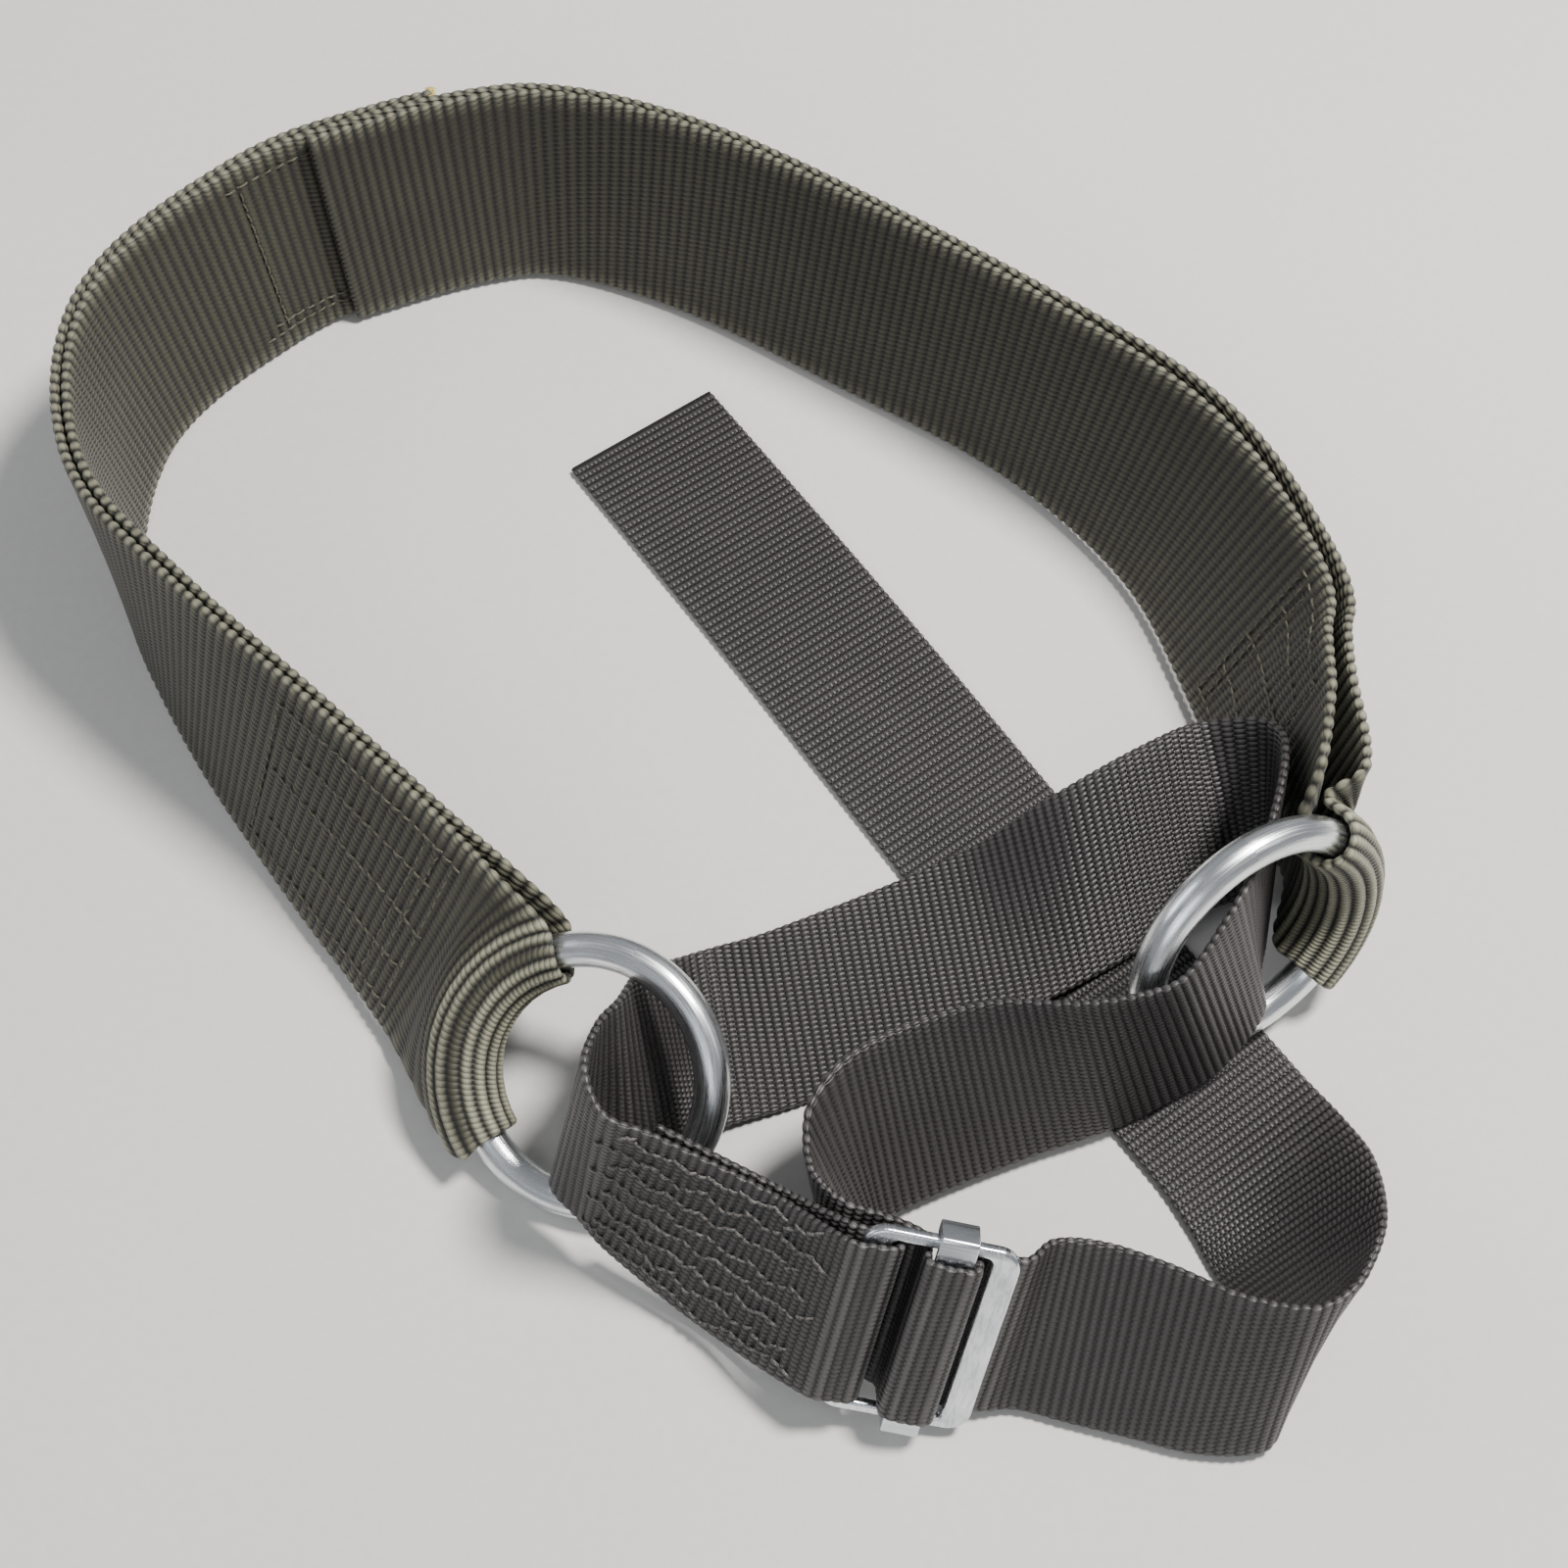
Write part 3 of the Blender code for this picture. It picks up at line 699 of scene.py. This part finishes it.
# %% Finish of the webbing
def webbing_finish(name, pitch, yarn, groove, back, pale, twist, sheen, worn, grid, gloss):
    """Ribbed nylon webbing. pitch is from rib to rib and yarn from warp yarn to warp yarn, in
    metres. groove is the painted shade between the ribs, back the colour on them, and pale a
    painted highlight on the backs of opened ribs, also used on the selvage. grid is how dark the
    painted shade in the gaps between yarns is, and gloss the roughness of clean cloth."""
    m = Finish(name)
    uv = m.uv("along_and_across")
    split = m.add("ShaderNodeSeparateXYZ", {0: uv}).outputs
    ribs = m.math("DIVIDE", split["X"], pitch)
    half = m.times(m.math("MODULO", m.math("FLOOR", ribs), 2.0), 0.5)
    lean = m.times(m.math("FRACT", ribs), twist)
    yarns = m.math("ADD", m.math("ADD", m.math("DIVIDE", split["Y"], yarn), half), lean)
    strand = m.math("ABSOLUTE", m.math("SINE", m.times(yarns, math.pi)))
    fibre = m.noise(m.stretched(uv, (9000, 2600, 1)), 1.0, 2.0)
    # high is 1 on the rib backs and falls in the grooves and the gaps between yarns; it places the
    # painted shade and the painted highlight below.
    high = m.times(m.math("POWER", m.attribute("rib"), 2.0), m.ramp(strand, 0, 0.7, 1 - grid, 1))
    dye = m.noise(m.stretched(uv, (28, 60, 1)), 1.0, 4.0)
    each_rib = m.noise(m.stretched(uv, (1.02 / pitch, 45, 1)), 1.0, 1.0)
    # Painted shade: grooves and gaps between yarns take the dark groove colour.
    colour = m.mix(high, groove, back)
    # Painted highlight: the backs of opened ribs turn pale.
    colour = m.mix(m.times(high, m.ramp(m.attribute("opened"), 0.25, 1, 0, 0.9)), colour, pale)
    colour = m.mix(m.times(m.attribute("selvage"), m.times(high, worn)), colour, pale)
    shade = m.times(m.ramp(dye, 0.3, 0.7, 0.86, 1.12), m.ramp(each_rib, 0.3, 0.7, 0.9, 1.1))
    tint = m.add("ShaderNodeHueSaturation", {
        "Color": colour, "Value": m.times(shade, m.ramp(fibre, 0.3, 0.7, 0.85, 1.15))})
    sealed = m.attribute("sealed")
    return m.surface({
        "Base Color": m.mix(sealed, tint.outputs["Color"], tuple(0.35 * c for c in back)),
        "Roughness": m.ramp(sealed, 0, 1, gloss, 0.35),
        "Specular IOR Level": 0.5,
        "Sheen Weight": sheen,
        "Sheen Roughness": 0.4,
        "Sheen Tint": (*[min(1, 4 * c) for c in pale], 1),
        "Normal": m.bump(fibre, 0.00008, 0.5, m.bump(strand, 0.00022, 0.8))})


# groove is painted shade between the ribs, and pale a painted highlight on the backs of opened ribs.
OLIVE = webbing_finish("olive_webbing", BAND_RIB * MM, 1.25 * MM, groove=(0.006, 0.0055, 0.0035),
                       back=(0.047, 0.046, 0.027), pale=(0.35, 0.345, 0.25), twist=0.5,
                       sheen=0.12, worn=0.5, grid=0.45, gloss=0.6)
BLACK = webbing_finish("black_webbing", STRAP_RIB * MM, 1.1 * MM, groove=(0.002, 0.0018, 0.002),
                       back=(0.042, 0.038, 0.039), pale=(0.085, 0.080, 0.080), twist=0.0,
                       sheen=0.08, worn=0.3, grid=0.3, gloss=0.43)

# %% Make the two lengths of webbing
# depth of the grooves between the ribs where the webbing is straight, and where it is opened
BAND_GROOVES, STRAP_GROOVES = (0.42, 0.8), (0.3, 0.34)
band_shares = shares_across(11, BAND_W)
band = Webbing(band_path(band_shares), BAND_W, BAND_T, BAND_RIB, band_shares, BAND_GROOVES)
# Opening the ribs here also spreads the painted highlight on their backs.
band.spread_ribs(band.at("through the lap", 13.0), band.at("right ring", 8), amount=0.6)
band_piece = add("thigh_loop_webbing", band.mesh("thigh_loop_webbing"), OLIVE)
strap_shares = shares_across(9, STRAP_W)
strap = Webbing(strap_path(strap_shares), STRAP_W, STRAP_T, STRAP_RIB, strap_shares, STRAP_GROOVES)
strap_piece = add("pulling_strap_webbing", strap.mesh("pulling_strap_webbing"), BLACK)
for piece, webbing in ((band_piece, band), (strap_piece, strap)):
    print(piece.name, "length", round(webbing.s[-1], 1), "mm,", triangles(piece.data), "triangles")

# %% [markdown]
# ## Sewing
# A lockstitch shows on the face as a row of short threads, each rising from one hole and
# sinking into the next. One stitch is a small arched thread, and a Geometry Nodes tree sets
# a copy of it on each point of a seam, turned by two attributes: the way the seam runs and
# the way out of the cloth. A little random turn and scale keep the rows from looking printed.

# %% The stitch tree
SUNK_ENDS = -0.7       # in thread widths: where a stitch goes into the cloth
STITCH_TURN, STITCH_SCALE = (-0.14, 0.14), (0.85, 1.1)      # radians, and share of the size


def stitch_tree():
    group = bpy.data.node_groups.new("sewn_stitches", "GeometryNodeTree")
    group.is_modifier = True
    for label, kind in (("Geometry", "Geometry"), ("Stitch length", "Float"),
                        ("Thread width", "Float"), ("Arch", "Float"), ("Seed", "Int"),
                        ("Thread", "Material")):
        group.interface.new_socket(label, in_out="INPUT", socket_type="NodeSocket" + kind)
    group.interface.new_socket("Geometry", in_out="OUTPUT", socket_type="NodeSocketGeometry")
    t = Tree(group)
    given = t.add("NodeGroupInput").outputs
    half = t.times(given["Stitch length"], 0.5)
    sunk = t.times(given["Thread width"], SUNK_ENDS)
    start, middle, end = [t.add("ShaderNodeCombineXYZ", {"X": x, "Z": z}) for x, z in (
        (t.times(half, -1.0), sunk), (0.0, t.times(given["Arch"], 2.0)), (half, sunk))]
    thread = t.add("GeometryNodeCurveQuadraticBezier",
                   {"Resolution": 5, "Start": start, "Middle": middle, "End": end})
    profile = t.add("GeometryNodeCurvePrimitiveCircle",
                    {"Resolution": 6, "Radius": t.times(given["Thread width"], 0.5)})
    swept = t.add("GeometryNodeCurveToMesh",
                  {"Curve": thread, "Profile Curve": profile, "Fill Caps": True})
    out, runs = [t.add("GeometryNodeInputNamedAttribute", {"Name": label}, data_type="FLOAT_VECTOR")
                 for label in ("out_of_cloth", "seam_runs")]
    turn = t.add("FunctionNodeAxesToRotation", {0: out, 1: runs},
                 primary_axis="Z", secondary_axis="X")

    def random_between(low, high, number):
        seed = t.math("ADD", given["Seed"], number)
        return t.add("FunctionNodeRandomValue", {2: low, 3: high, "Seed": seed},
                     data_type="FLOAT").outputs[1]

    spin = t.add("ShaderNodeCombineXYZ", {"Z": random_between(*STITCH_TURN, 1)})
    turned = t.add("FunctionNodeRotateRotation",
                   {0: turn, 1: t.add("FunctionNodeEulerToRotation", {0: spin})},
                   rotation_space="LOCAL")
    placed = t.add("GeometryNodeInstanceOnPoints", {
        "Points": given["Geometry"], "Instance": swept, "Rotation": turned,
        "Scale": random_between(*STITCH_SCALE, 2)})
    soft = t.add("GeometryNodeSetShadeSmooth",
                 {"Geometry": t.add("GeometryNodeRealizeInstances", {0: placed})})
    finish = t.add("GeometryNodeSetMaterial", {"Geometry": soft, "Material": given["Thread"]})
    t.add("NodeGroupOutput", {0: finish})
    return group


STITCHES = stitch_tree()


# %% From points to thread
def sewn(name, stitches, length, thread, arch, seed, material):
    """Piece of thread: stitches are (point in mm, way of the seam, way out of the cloth)."""
    mesh = bpy.data.meshes.new(name)
    mesh.from_pydata([tuple((p + SHIFT) * MM) for p, _, _ in stitches], [], [])
    for label, index in (("seam_runs", 1), ("out_of_cloth", 2)):
        values = np.array([s[index] for s in stitches], np.float32).ravel()
        mesh.attributes.new(label, "FLOAT_VECTOR", "POINT").data.foreach_set("vector", values)
    obj = linked(name, mesh)
    modifier = obj.modifiers.new("stitches", "NODES")
    modifier.node_group = STITCHES
    sockets = {item.name: item.identifier for item in STITCHES.interface.items_tree
               if item.in_out == "INPUT"}
    for label, value in (("Stitch length", length * MM), ("Thread width", thread * MM),
                         ("Arch", arch * MM), ("Seed", seed), ("Thread", material)):
        modifier[sockets[label]] = value
    made = frozen(obj)
    obj.modifiers.clear()
    obj.data = made
    print(name, len(stitches), "stitches,", triangles(made), "triangles")
    return obj


# %% [markdown]
# ## Threads
# The thread is bonded nylon, a little glossier than the cloth, with a fine twist that reads
# as light and dark bands along it.

# %% Finish of the threads
def thread_finish(name, colour, light):
    m = Finish(name)
    twist = m.noise(m.stretched(m.place(), (2600, 2600, 2600)), 1.0, 1.0)
    return m.surface({"Base Color": m.mix(m.ramp(twist, 0.35, 0.65), colour, light),
                      "Roughness": 0.55, "Sheen Weight": 0.2,
                      "Normal": m.bump(twist, 0.00006, 0.6)})


DARK_THREAD = thread_finish("dark_thread", (0.030, 0.028, 0.027), (0.15, 0.14, 0.135))
KHAKI_THREAD = thread_finish("khaki_thread", (0.030, 0.027, 0.017), (0.11, 0.10, 0.065))


# %% [markdown]
# ## Seams
# A seam is told by where it starts and ends along the webbing and across it, on which face.
# The cloth is guided under the needle by hand, so the rows wander a little, and a seam that
# holds a load is sewn forwards and back several times.

# %% Seams as rows of points
UNDER_FACE = -0.05     # how far the places of the stitches lie under the face of the cloth


def seam(webbing, side, start, end, pitch, wander, seed):
    """Stitch points from start to end, each (length along, share across)."""
    chance = np.random.default_rng(seed)
    span = math.hypot(end[0] - start[0], (end[1] - start[1]) * webbing.width)
    count = max(2, round(span / pitch))
    drift = blurred(chance.normal(0, 1, count + 8), 7)[:count] * wander
    out = []
    for k in range(count):
        t = (k + 0.5) / count
        s = start[0] + t * (end[0] - start[0])
        share = start[1] + t * (end[1] - start[1]) + drift[k] / webbing.width
        point, along, across, n = webbing.on_face(s, share, side, UNDER_FACE)
        way = along * (end[0] - start[0]) + across * (end[1] - start[1]) * webbing.width
        out.append((point, unit(way), n))
    return out


def seams(webbing, side, rows, pitch, wander, seed):
    out = []
    for number, (start, end) in enumerate(rows):
        out += seam(webbing, side, start, end, pitch, wander, seed + number)
    return out


# %% Sewing of the tab
def stretch(webbing, leg, first, last, rows):
    """Seams between two numbers of a leg, each told by shares along and across."""
    a, b = webbing.at(leg, first), webbing.at(leg, last)
    return [((a + r * (b - a), p), (a + t * (b - a), q)) for r, p, t, q in rows]


LEFT, BACK, FRONT, RIGHT = (-1, 0, 0), (0, 1, 0), (0, -1, 0), (1, 0, 0)
tab_from, tab_to = strap.at("under ply", 9), strap.at("run", 0)


def zigzag(first, last, middle, swing, teeth, seed):
    """Seams of a hand-guided zigzag between two lengths, about the share middle."""
    chance = np.random.default_rng(seed)
    s = np.linspace(first, last, teeth + 1) + chance.uniform(-0.9, 0.9, teeth + 1)
    side = (-1.0) ** (np.arange(teeth + 1) + seed % 2)
    share = middle + swing * side * chance.uniform(0.1, 1.0, teeth + 1)
    return list(zip(zip(s[:-1], share[:-1]), zip(s[1:], share[1:])))


tab_rows = []
for number, middle in enumerate((0.08, 0.19, 0.31, 0.43, 0.55, 0.67, 0.79, 0.91)):
    start = tab_from + 3 + 3.0 * (number % 3)
    tab_rows += zigzag(start, tab_to - 3 * (number % 2), middle, 0.03, 10 + number % 4, 21 + number)
tab_face = strap.side_towards((tab_from + tab_to) / 2, FRONT)
tab_stitches = seams(strap, tab_face, tab_rows, pitch=2.4, wander=0.7, seed=11)
tab_thread = sewn("tab_stitching", tab_stitches, length=2.1, thread=0.62, arch=0.42, seed=3,
                  material=DARK_THREAD)

# %% Sewing of the thigh loop
lap_rows = (
    (0.00, 0.10, 1.00, 0.10), (1.00, 0.14, 0.05, 0.15), (0.05, 0.90, 0.95, 0.91),
    (0.10, 0.12, 0.10, 0.88), (0.52, 0.12, 0.50, 0.88), (0.62, 0.88, 0.64, 0.14),
    (0.78, 0.12, 0.76, 0.86), (0.95, 0.88, 0.96, 0.12), (0.55, 0.30, 0.95, 0.34),
    (0.55, 0.55, 0.95, 0.52), (0.55, 0.74, 0.95, 0.76))
ring_rows = (
    (0.00, 0.10, 1.00, 0.11), (0.00, 0.89, 1.00, 0.87), (0.05, 0.30, 0.90, 0.27),
    (0.02, 0.50, 0.95, 0.53), (0.08, 0.72, 0.92, 0.69), (0.04, 0.12, 0.04, 0.88),
    (0.12, 0.86, 0.14, 0.14), (0.20, 0.14, 0.19, 0.86), (0.96, 0.12, 0.98, 0.88))
band_stitches = []
for leg, first, last, table, way, seed in (
        ("through the lap", 4.9, 7.0, lap_rows, FRONT, 31),
        ("outer, left half", 0.15, 1.35, ring_rows, LEFT, 51),
        ("through the lap", 0.15, 1.35, ring_rows, RIGHT, 61),
        ("outer, left half", 5.2, 6.42, lap_rows, BACK, 71),
        ("inner, right half", 12.0, 13.8, ring_rows, LEFT, 81),
        ("through the lap", 12.0, 13.8, ring_rows, RIGHT, 91)):
    rows = stretch(band, leg, first, last, table)
    face = band.side_towards(rows[0][0][0], way)
    band_stitches += seams(band, face, rows, pitch=3.0, wander=0.5, seed=seed)
band_thread = sewn("thigh_loop_stitching", band_stitches, length=2.5, thread=0.5, arch=0.25, seed=7,
                   material=KHAKI_THREAD)

# %% [markdown]
# ## The heat-sealed end
# Nylon webbing is cut with a hot knife, so that it doesn't fray. At the end that lies outside
# in the lap, a small bead of melted nylon stands on the upper corner. It is a round form
# pushed out of shape by noise, because no two such beads are alike.

# %% Bead on the cut end
def melted_finish():
    m = Finish("melted_nylon")
    cloudy = m.noise(m.place(), 900, 3.0)
    return m.surface({"Base Color": m.mix(cloudy, (0.42, 0.30, 0.06), (0.62, 0.50, 0.16)),
                      "Roughness": 0.35, "Normal": m.bump(cloudy, 0.0002, 0.6)})


def bead(name, centre, radius, material):
    bm = bmesh.new()
    bmesh.ops.create_icosphere(bm, subdivisions=4, radius=1)
    for v in bm.verts:
        p = np.array(v.co)
        dented = 1 + 0.22 * math.sin(4 * p[0] + 1.3) * math.cos(5 * p[1]) + 0.12 * math.sin(7 * p[2])
        v.co = (centre + SHIFT + p * np.array(radius) * dented) * MM
    mesh = bpy.data.meshes.new(name)
    bm.to_mesh(mesh)
    bm.free()
    shade_smooth(mesh)
    return add(name, mesh, material)


BEAD_ALONG, BEAD_ACROSS, BEAD_LIFT = 0.6, 0.985, -0.9       # mm, share of the width, and mm
corner_at, _, _, _ = band.on_face(BEAD_ALONG, BEAD_ACROSS, band.side_towards(BEAD_ALONG, BACK),
                                  BEAD_LIFT)
seal_bead = bead("sealed_corner", corner_at, radius=(1.1, 1.3, 0.8), material=melted_finish())

# %% [markdown]
# ## Rings
# Each ring is bent from round wire and butt welded, then zinc plated. The plating is bright
# and a little blue, and the webbing has rubbed soft scratches into it that run round the
# ring. The torus is turned here as a grid of two angles, so its UV map can follow them, with
# a slight swelling at the weld. The weld is turned to where the wide webbing covers it.

# %% Finish of the plated steel
def plated_finish(name, bright, dull, around, scratch):
    """Zinc plate. around is how often the scratch pattern repeats along and across."""
    m = Finish(name)
    uv, place = m.uv("round"), m.place()
    cloud = m.noise(place, 130, 4.0)
    grain = m.noise(place, 2400, 3.0, 0.65)
    lines = m.noise(m.stretched(uv, around), 1.0, 3.0, 0.6)
    fine = m.noise(m.stretched(uv, tuple(2.7 * a for a in around)), 1.0, 2.0, 0.6)
    rubbed = m.ramp(m.times(lines, fine), 0.2, 0.36)
    colour = m.mix(m.ramp(cloud, 0.35, 0.65), bright, dull)
    return m.surface({
        "Base Color": m.mix(m.times(rubbed, 0.35), colour, tuple(0.72 * c for c in dull)),
        "Metallic": 1.0,
        "Roughness": m.math("ADD", m.ramp(cloud, 0.3, 0.7, 0.17, 0.27), m.times(rubbed, 0.16)),
        "Normal": m.bump(grain, 0.00001, 0.35, m.bump(rubbed, scratch, 0.35))})


# %% A ring with its weld
UNDER_CAD = 0.02       # the wire is this much thinner in radius than in the CAD
WELD_HEIGHT, WELD_SPREAD = 0.14, 3.5      # mm, and degrees round the ring


def ring_mesh(name, ring, weld_at, around=160, wire=40):
    """Torus of points with its UV map; a smooth swelling stands at the angle of the weld."""
    up, level, n = ring_axes(ring)
    phi = np.linspace(0, 2 * math.pi, around + 1)[:-1]
    psi = np.linspace(0, 2 * math.pi, wire + 1)[:-1]
    away = up * np.cos(phi)[:, None] + level * np.sin(phi)[:, None]
    from_weld = np.abs((np.degrees(phi) - weld_at + 180) % 360 - 180)
    swelling = WELD_HEIGHT * np.exp(-(from_weld / WELD_SPREAD) ** 2)
    radius = (RING_WIRE / 2 - UNDER_CAD + swelling)[:, None, None]
    tube = (np.cos(psi)[None, :, None] * away[:, None] + np.sin(psi)[None, :, None] * n)
    points = np.array(ring["at"]) + RING_MID * away[:, None] + radius * tube
    a = np.arange(around * wire).reshape(around, wire)
    faces = quads(a, np.roll(a, -1, 0), np.roll(np.roll(a, -1, 0), -1, 1), np.roll(a, -1, 1))
    mesh = bpy.data.meshes.new(name)
    mesh.from_pydata(((points.reshape(-1, 3) + SHIFT) * MM).tolist(), [], faces.tolist())
    mesh.update()
    i, j = np.meshgrid(np.arange(around), np.arange(wire), indexing="ij")
    corners = np.stack([np.stack([i + p, j + q], -1)
                        for p, q in ((0, 0), (1, 0), (1, 1), (0, 1))], 2)
    uv = corners.reshape(-1, 2) / (around, wire)
    mesh.uv_layers.new(name="round").data.foreach_set("uv", uv.astype(np.float32).ravel())
    shade_smooth(mesh)
    face_outwards(mesh)
    return mesh


# %% Make the rings
RING_PLATE = plated_finish("ring_plate", (0.90, 0.93, 0.96), (0.76, 0.79, 0.81),
                           around=(5, 46, 1), scratch=0.00003)
left_ring = add("left_ring", ring_mesh("left_ring", LEFT_RING, 90), RING_PLATE)
right_ring = add("right_ring", ring_mesh("right_ring", RIGHT_RING, 260), RING_PLATE)
print("ring, mm", (np.array(left_ring.dimensions) / MM).round(1))

# %% [markdown]
# ## Buckle
# The frame is blanked from plate and tumbled, so its edges are round, and the bar is a strip
# whose ends are bent back round the frame. A flat curve with a bevel makes both, as a punch
# would: the outline gives the blank, and the bevel the tumbled edge.

# %% Outlines with round corners
def rounded(length, width, corner, per_corner):
    out = []
    for sx, sy, start in ((1, 1, 0), (-1, 1, 90), (-1, -1, 180), (1, -1, 270)):
        cx, cy = sx * (length / 2 - corner), sy * (width / 2 - corner)
        for k in range(per_corner):
            a = math.radians(start + 90 * k / (per_corner - 1))
            out.append((cx + corner * math.cos(a), cy + corner * math.sin(a)))
    return out


def eased(outline, radius, per_corner=5):
    """The same outline with each corner on a small curve."""
    out = []
    points = [np.array(p, float) for p in outline]
    for k, p in enumerate(points):
        to_last, to_next = points[k - 1] - p, points[(k + 1) % len(points)] - p
        r = min(radius, 0.4 * np.linalg.norm(to_last), 0.4 * np.linalg.norm(to_next))
        a, b = p + unit(to_last) * r, p + unit(to_next) * r
        for t in np.linspace(0, 1, per_corner):
            out.append(tuple((1 - t) ** 2 * a + 2 * t * (1 - t) * p + t * t * b))
    return out


# %% A blank with round edges
def pressed(name, outlines, depth, edge, axes, at, material):
    """Blank of this depth with round edges, its curve's x, y and z along the axes."""
    curve = bpy.data.curves.new(name, "CURVE")
    curve.dimensions = "2D"
    curve.fill_mode = "BOTH"
    curve.extrude = (depth / 2 - edge) * MM
    curve.bevel_depth = edge * MM
    curve.bevel_resolution = 4
    curve.offset = -edge * MM
    for outline in outlines:
        line = curve.splines.new("POLY")
        line.points.add(len(outline) - 1)
        for point, (x, y) in zip(line.points, outline):
            point.co = (x * MM, y * MM, 0, 1)
        line.use_cyclic_u = True
    holder = linked(name + "_curve", curve)
    mesh = frozen(holder)
    bpy.data.objects.remove(holder)
    origin = (np.array(at) + SHIFT) * MM
    flat = np.array([v.co for v in mesh.vertices])
    for v, p in zip(mesh.vertices, flat @ np.array(axes) + origin):
        v.co = p
    face_outwards(mesh, join_within=0.00001)
    placed = np.array([v.co for v in mesh.vertices])
    map_points(mesh, "round", ((placed - origin) @ np.array(axes).T / (FRAME_W * MM))[:, :2])
    shade_smooth(mesh)
    mesh.set_sharp_from_angle(angle=math.radians(40))
    return add(name, mesh, material)


# %% Make the buckle
along, slot, front = buckle_axes()
BUCKLE_PLATE = plated_finish("buckle_plate", (0.84, 0.87, 0.90), (0.66, 0.70, 0.73),
                             around=(30, 6, 1), scratch=0.00004)
frame_piece = pressed("buckle_plate_frame", [
    rounded(FRAME_L, FRAME_W, FRAME_CORNER, 12),
    rounded(FRAME_L - 2 * RAIL, FRAME_W - 2 * FRAME_END, WINDOW_CORNER, 6)[::-1]],
    depth=FRAME_T, edge=0.7, axes=(along, slot, front), at=BUCKLE["at"], material=BUCKLE_PLATE)
face, end, back = FRAME_T / 2 + GAP, FRAME_W / 2 + GAP, -FRAME_T / 2 - GAP
bar_outline = [
    (-end - BAR_T, face + BAR_T), (-end - BAR_T, back - BAR_T), (-end + BAR_LIP, back - BAR_T),
    (-end + BAR_LIP, back), (-end, back), (-end, face), (end, face), (end, back),
    (end - BAR_LIP, back), (end - BAR_LIP, back - BAR_T), (end + BAR_T, back - BAR_T),
    (end + BAR_T, face + BAR_T)]
bar_piece = pressed("sliding_bar", [eased(bar_outline, radius=0.9)], depth=BAR_L, edge=0.3,
                    axes=(slot, front, along), at=np.array(BUCKLE["at"]) + along * BAR_AT,
                    material=BUCKLE_PLATE)
for piece in (frame_piece, bar_piece):
    print(piece.name, triangles(piece.data), "triangles")

# %% [markdown]
# ## Hide the CAD parts and attach the pieces
# Each piece that stands for a CAD node hides that node, and every piece rides on the one body.
# Both lengths of webbing are sheets of cloth, cut long and narrow.

# %% Pieces and bodies
for piece, node, finish in (
        (band_piece, "band_webbing", "band_webbing"), (strap_piece, "strap_webbing", "strap_webbing"),
        (left_ring, "ring_left", "ring_steel"), (right_ring, "ring_right", "ring_steel"),
        (frame_piece, "buckle_frame", "buckle_steel"), (bar_piece, "buckle_bar", "buckle_steel"),
        (tab_thread, None, "strap_webbing"), (band_thread, None, "band_webbing"),
        (seal_bead, None, "band_webbing")):
    if node:
        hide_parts(node)
    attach(piece, "root")

# %% [markdown]
# ## Floor, light and camera
# The floor is plain and pale, like a sheet of card. A soft lamp stands high on the right and
# a little behind, where the light of the photograph comes from, so the thigh loop shades its
# own inside. Two weaker ones fill from the front and left and give the steel something
# to mirror. The camera looks down from 62 degrees above the horizon.

# %% Floor
def floor_finish():
    m = Finish("pale_card")
    place = m.place()
    pulp = m.noise(place, 420, 4.0)
    colour = m.mix(m.noise(place, 6, 2.0), (0.66, 0.65, 0.63), (0.72, 0.71, 0.69))
    return m.surface({"Base Color": m.mix(m.ramp(pulp, 0.4, 0.6, 0, 0.25), colour, (0.62, 0.61, 0.59)),
                      "Roughness": 0.8, "Normal": m.bump(pulp, 0.00008, 0.4)})


floor_mesh = bpy.data.meshes.new("floor")
floor_mesh.from_pydata([(-3, -3, 0), (3, -3, 0), (3, 3, 0), (-3, 3, 0)], [], [(0, 1, 2, 3)])
add("floor", floor_mesh, floor_finish())


# %% Lights
def lamp(name, place, size, power, colour):
    data = bpy.data.lights.new(name, "AREA")
    data.shape = "DISK"
    data.size, data.energy, data.color = size, power, colour
    obj = linked(name, data)
    obj.location = place
    obj.rotation_euler = (-Vector(place)).to_track_quat("-Z", "Y").to_euler()


lamp("key", (0.55, 0.20, 1.12), size=0.28, power=29, colour=(1.0, 0.97, 0.93))
lamp("front fill", (-0.2, -1.1, 0.8), size=0.9, power=3.5, colour=(0.94, 0.97, 1.0))
lamp("left fill", (-1.0, 0.2, 0.7), size=0.7, power=3, colour=(0.95, 0.97, 1.0))
world = bpy.data.worlds.new("studio")
world.use_nodes = True
sky = world.node_tree.nodes["Background"].inputs
sky["Color"].default_value = (0.93, 0.95, 1.0, 1)
sky["Strength"].default_value = 0.3
bpy.context.scene.world = world

# %% Camera
CAMERA_AT = np.array([0.0, -250.4, 471.0])       # in the frame that the rows are counted in
VIEW_FROM_ABOVE = 62                             # degrees above the horizon
FOCAL_PX, IMAGE_PX, SENSOR = 2580, 1600, 36
lens = bpy.data.cameras.new("camera")
lens.sensor_width, lens.lens, lens.clip_start = SENSOR, SENSOR * FOCAL_PX / IMAGE_PX, 0.01
camera = linked("camera", lens)
camera.location = (CAMERA_AT + SHIFT) * MM
camera.rotation_euler = (math.radians(90 - VIEW_FROM_ABOVE), 0, 0)
bpy.context.scene.camera = camera

# %% Update the scene
bpy.context.view_layer.update()
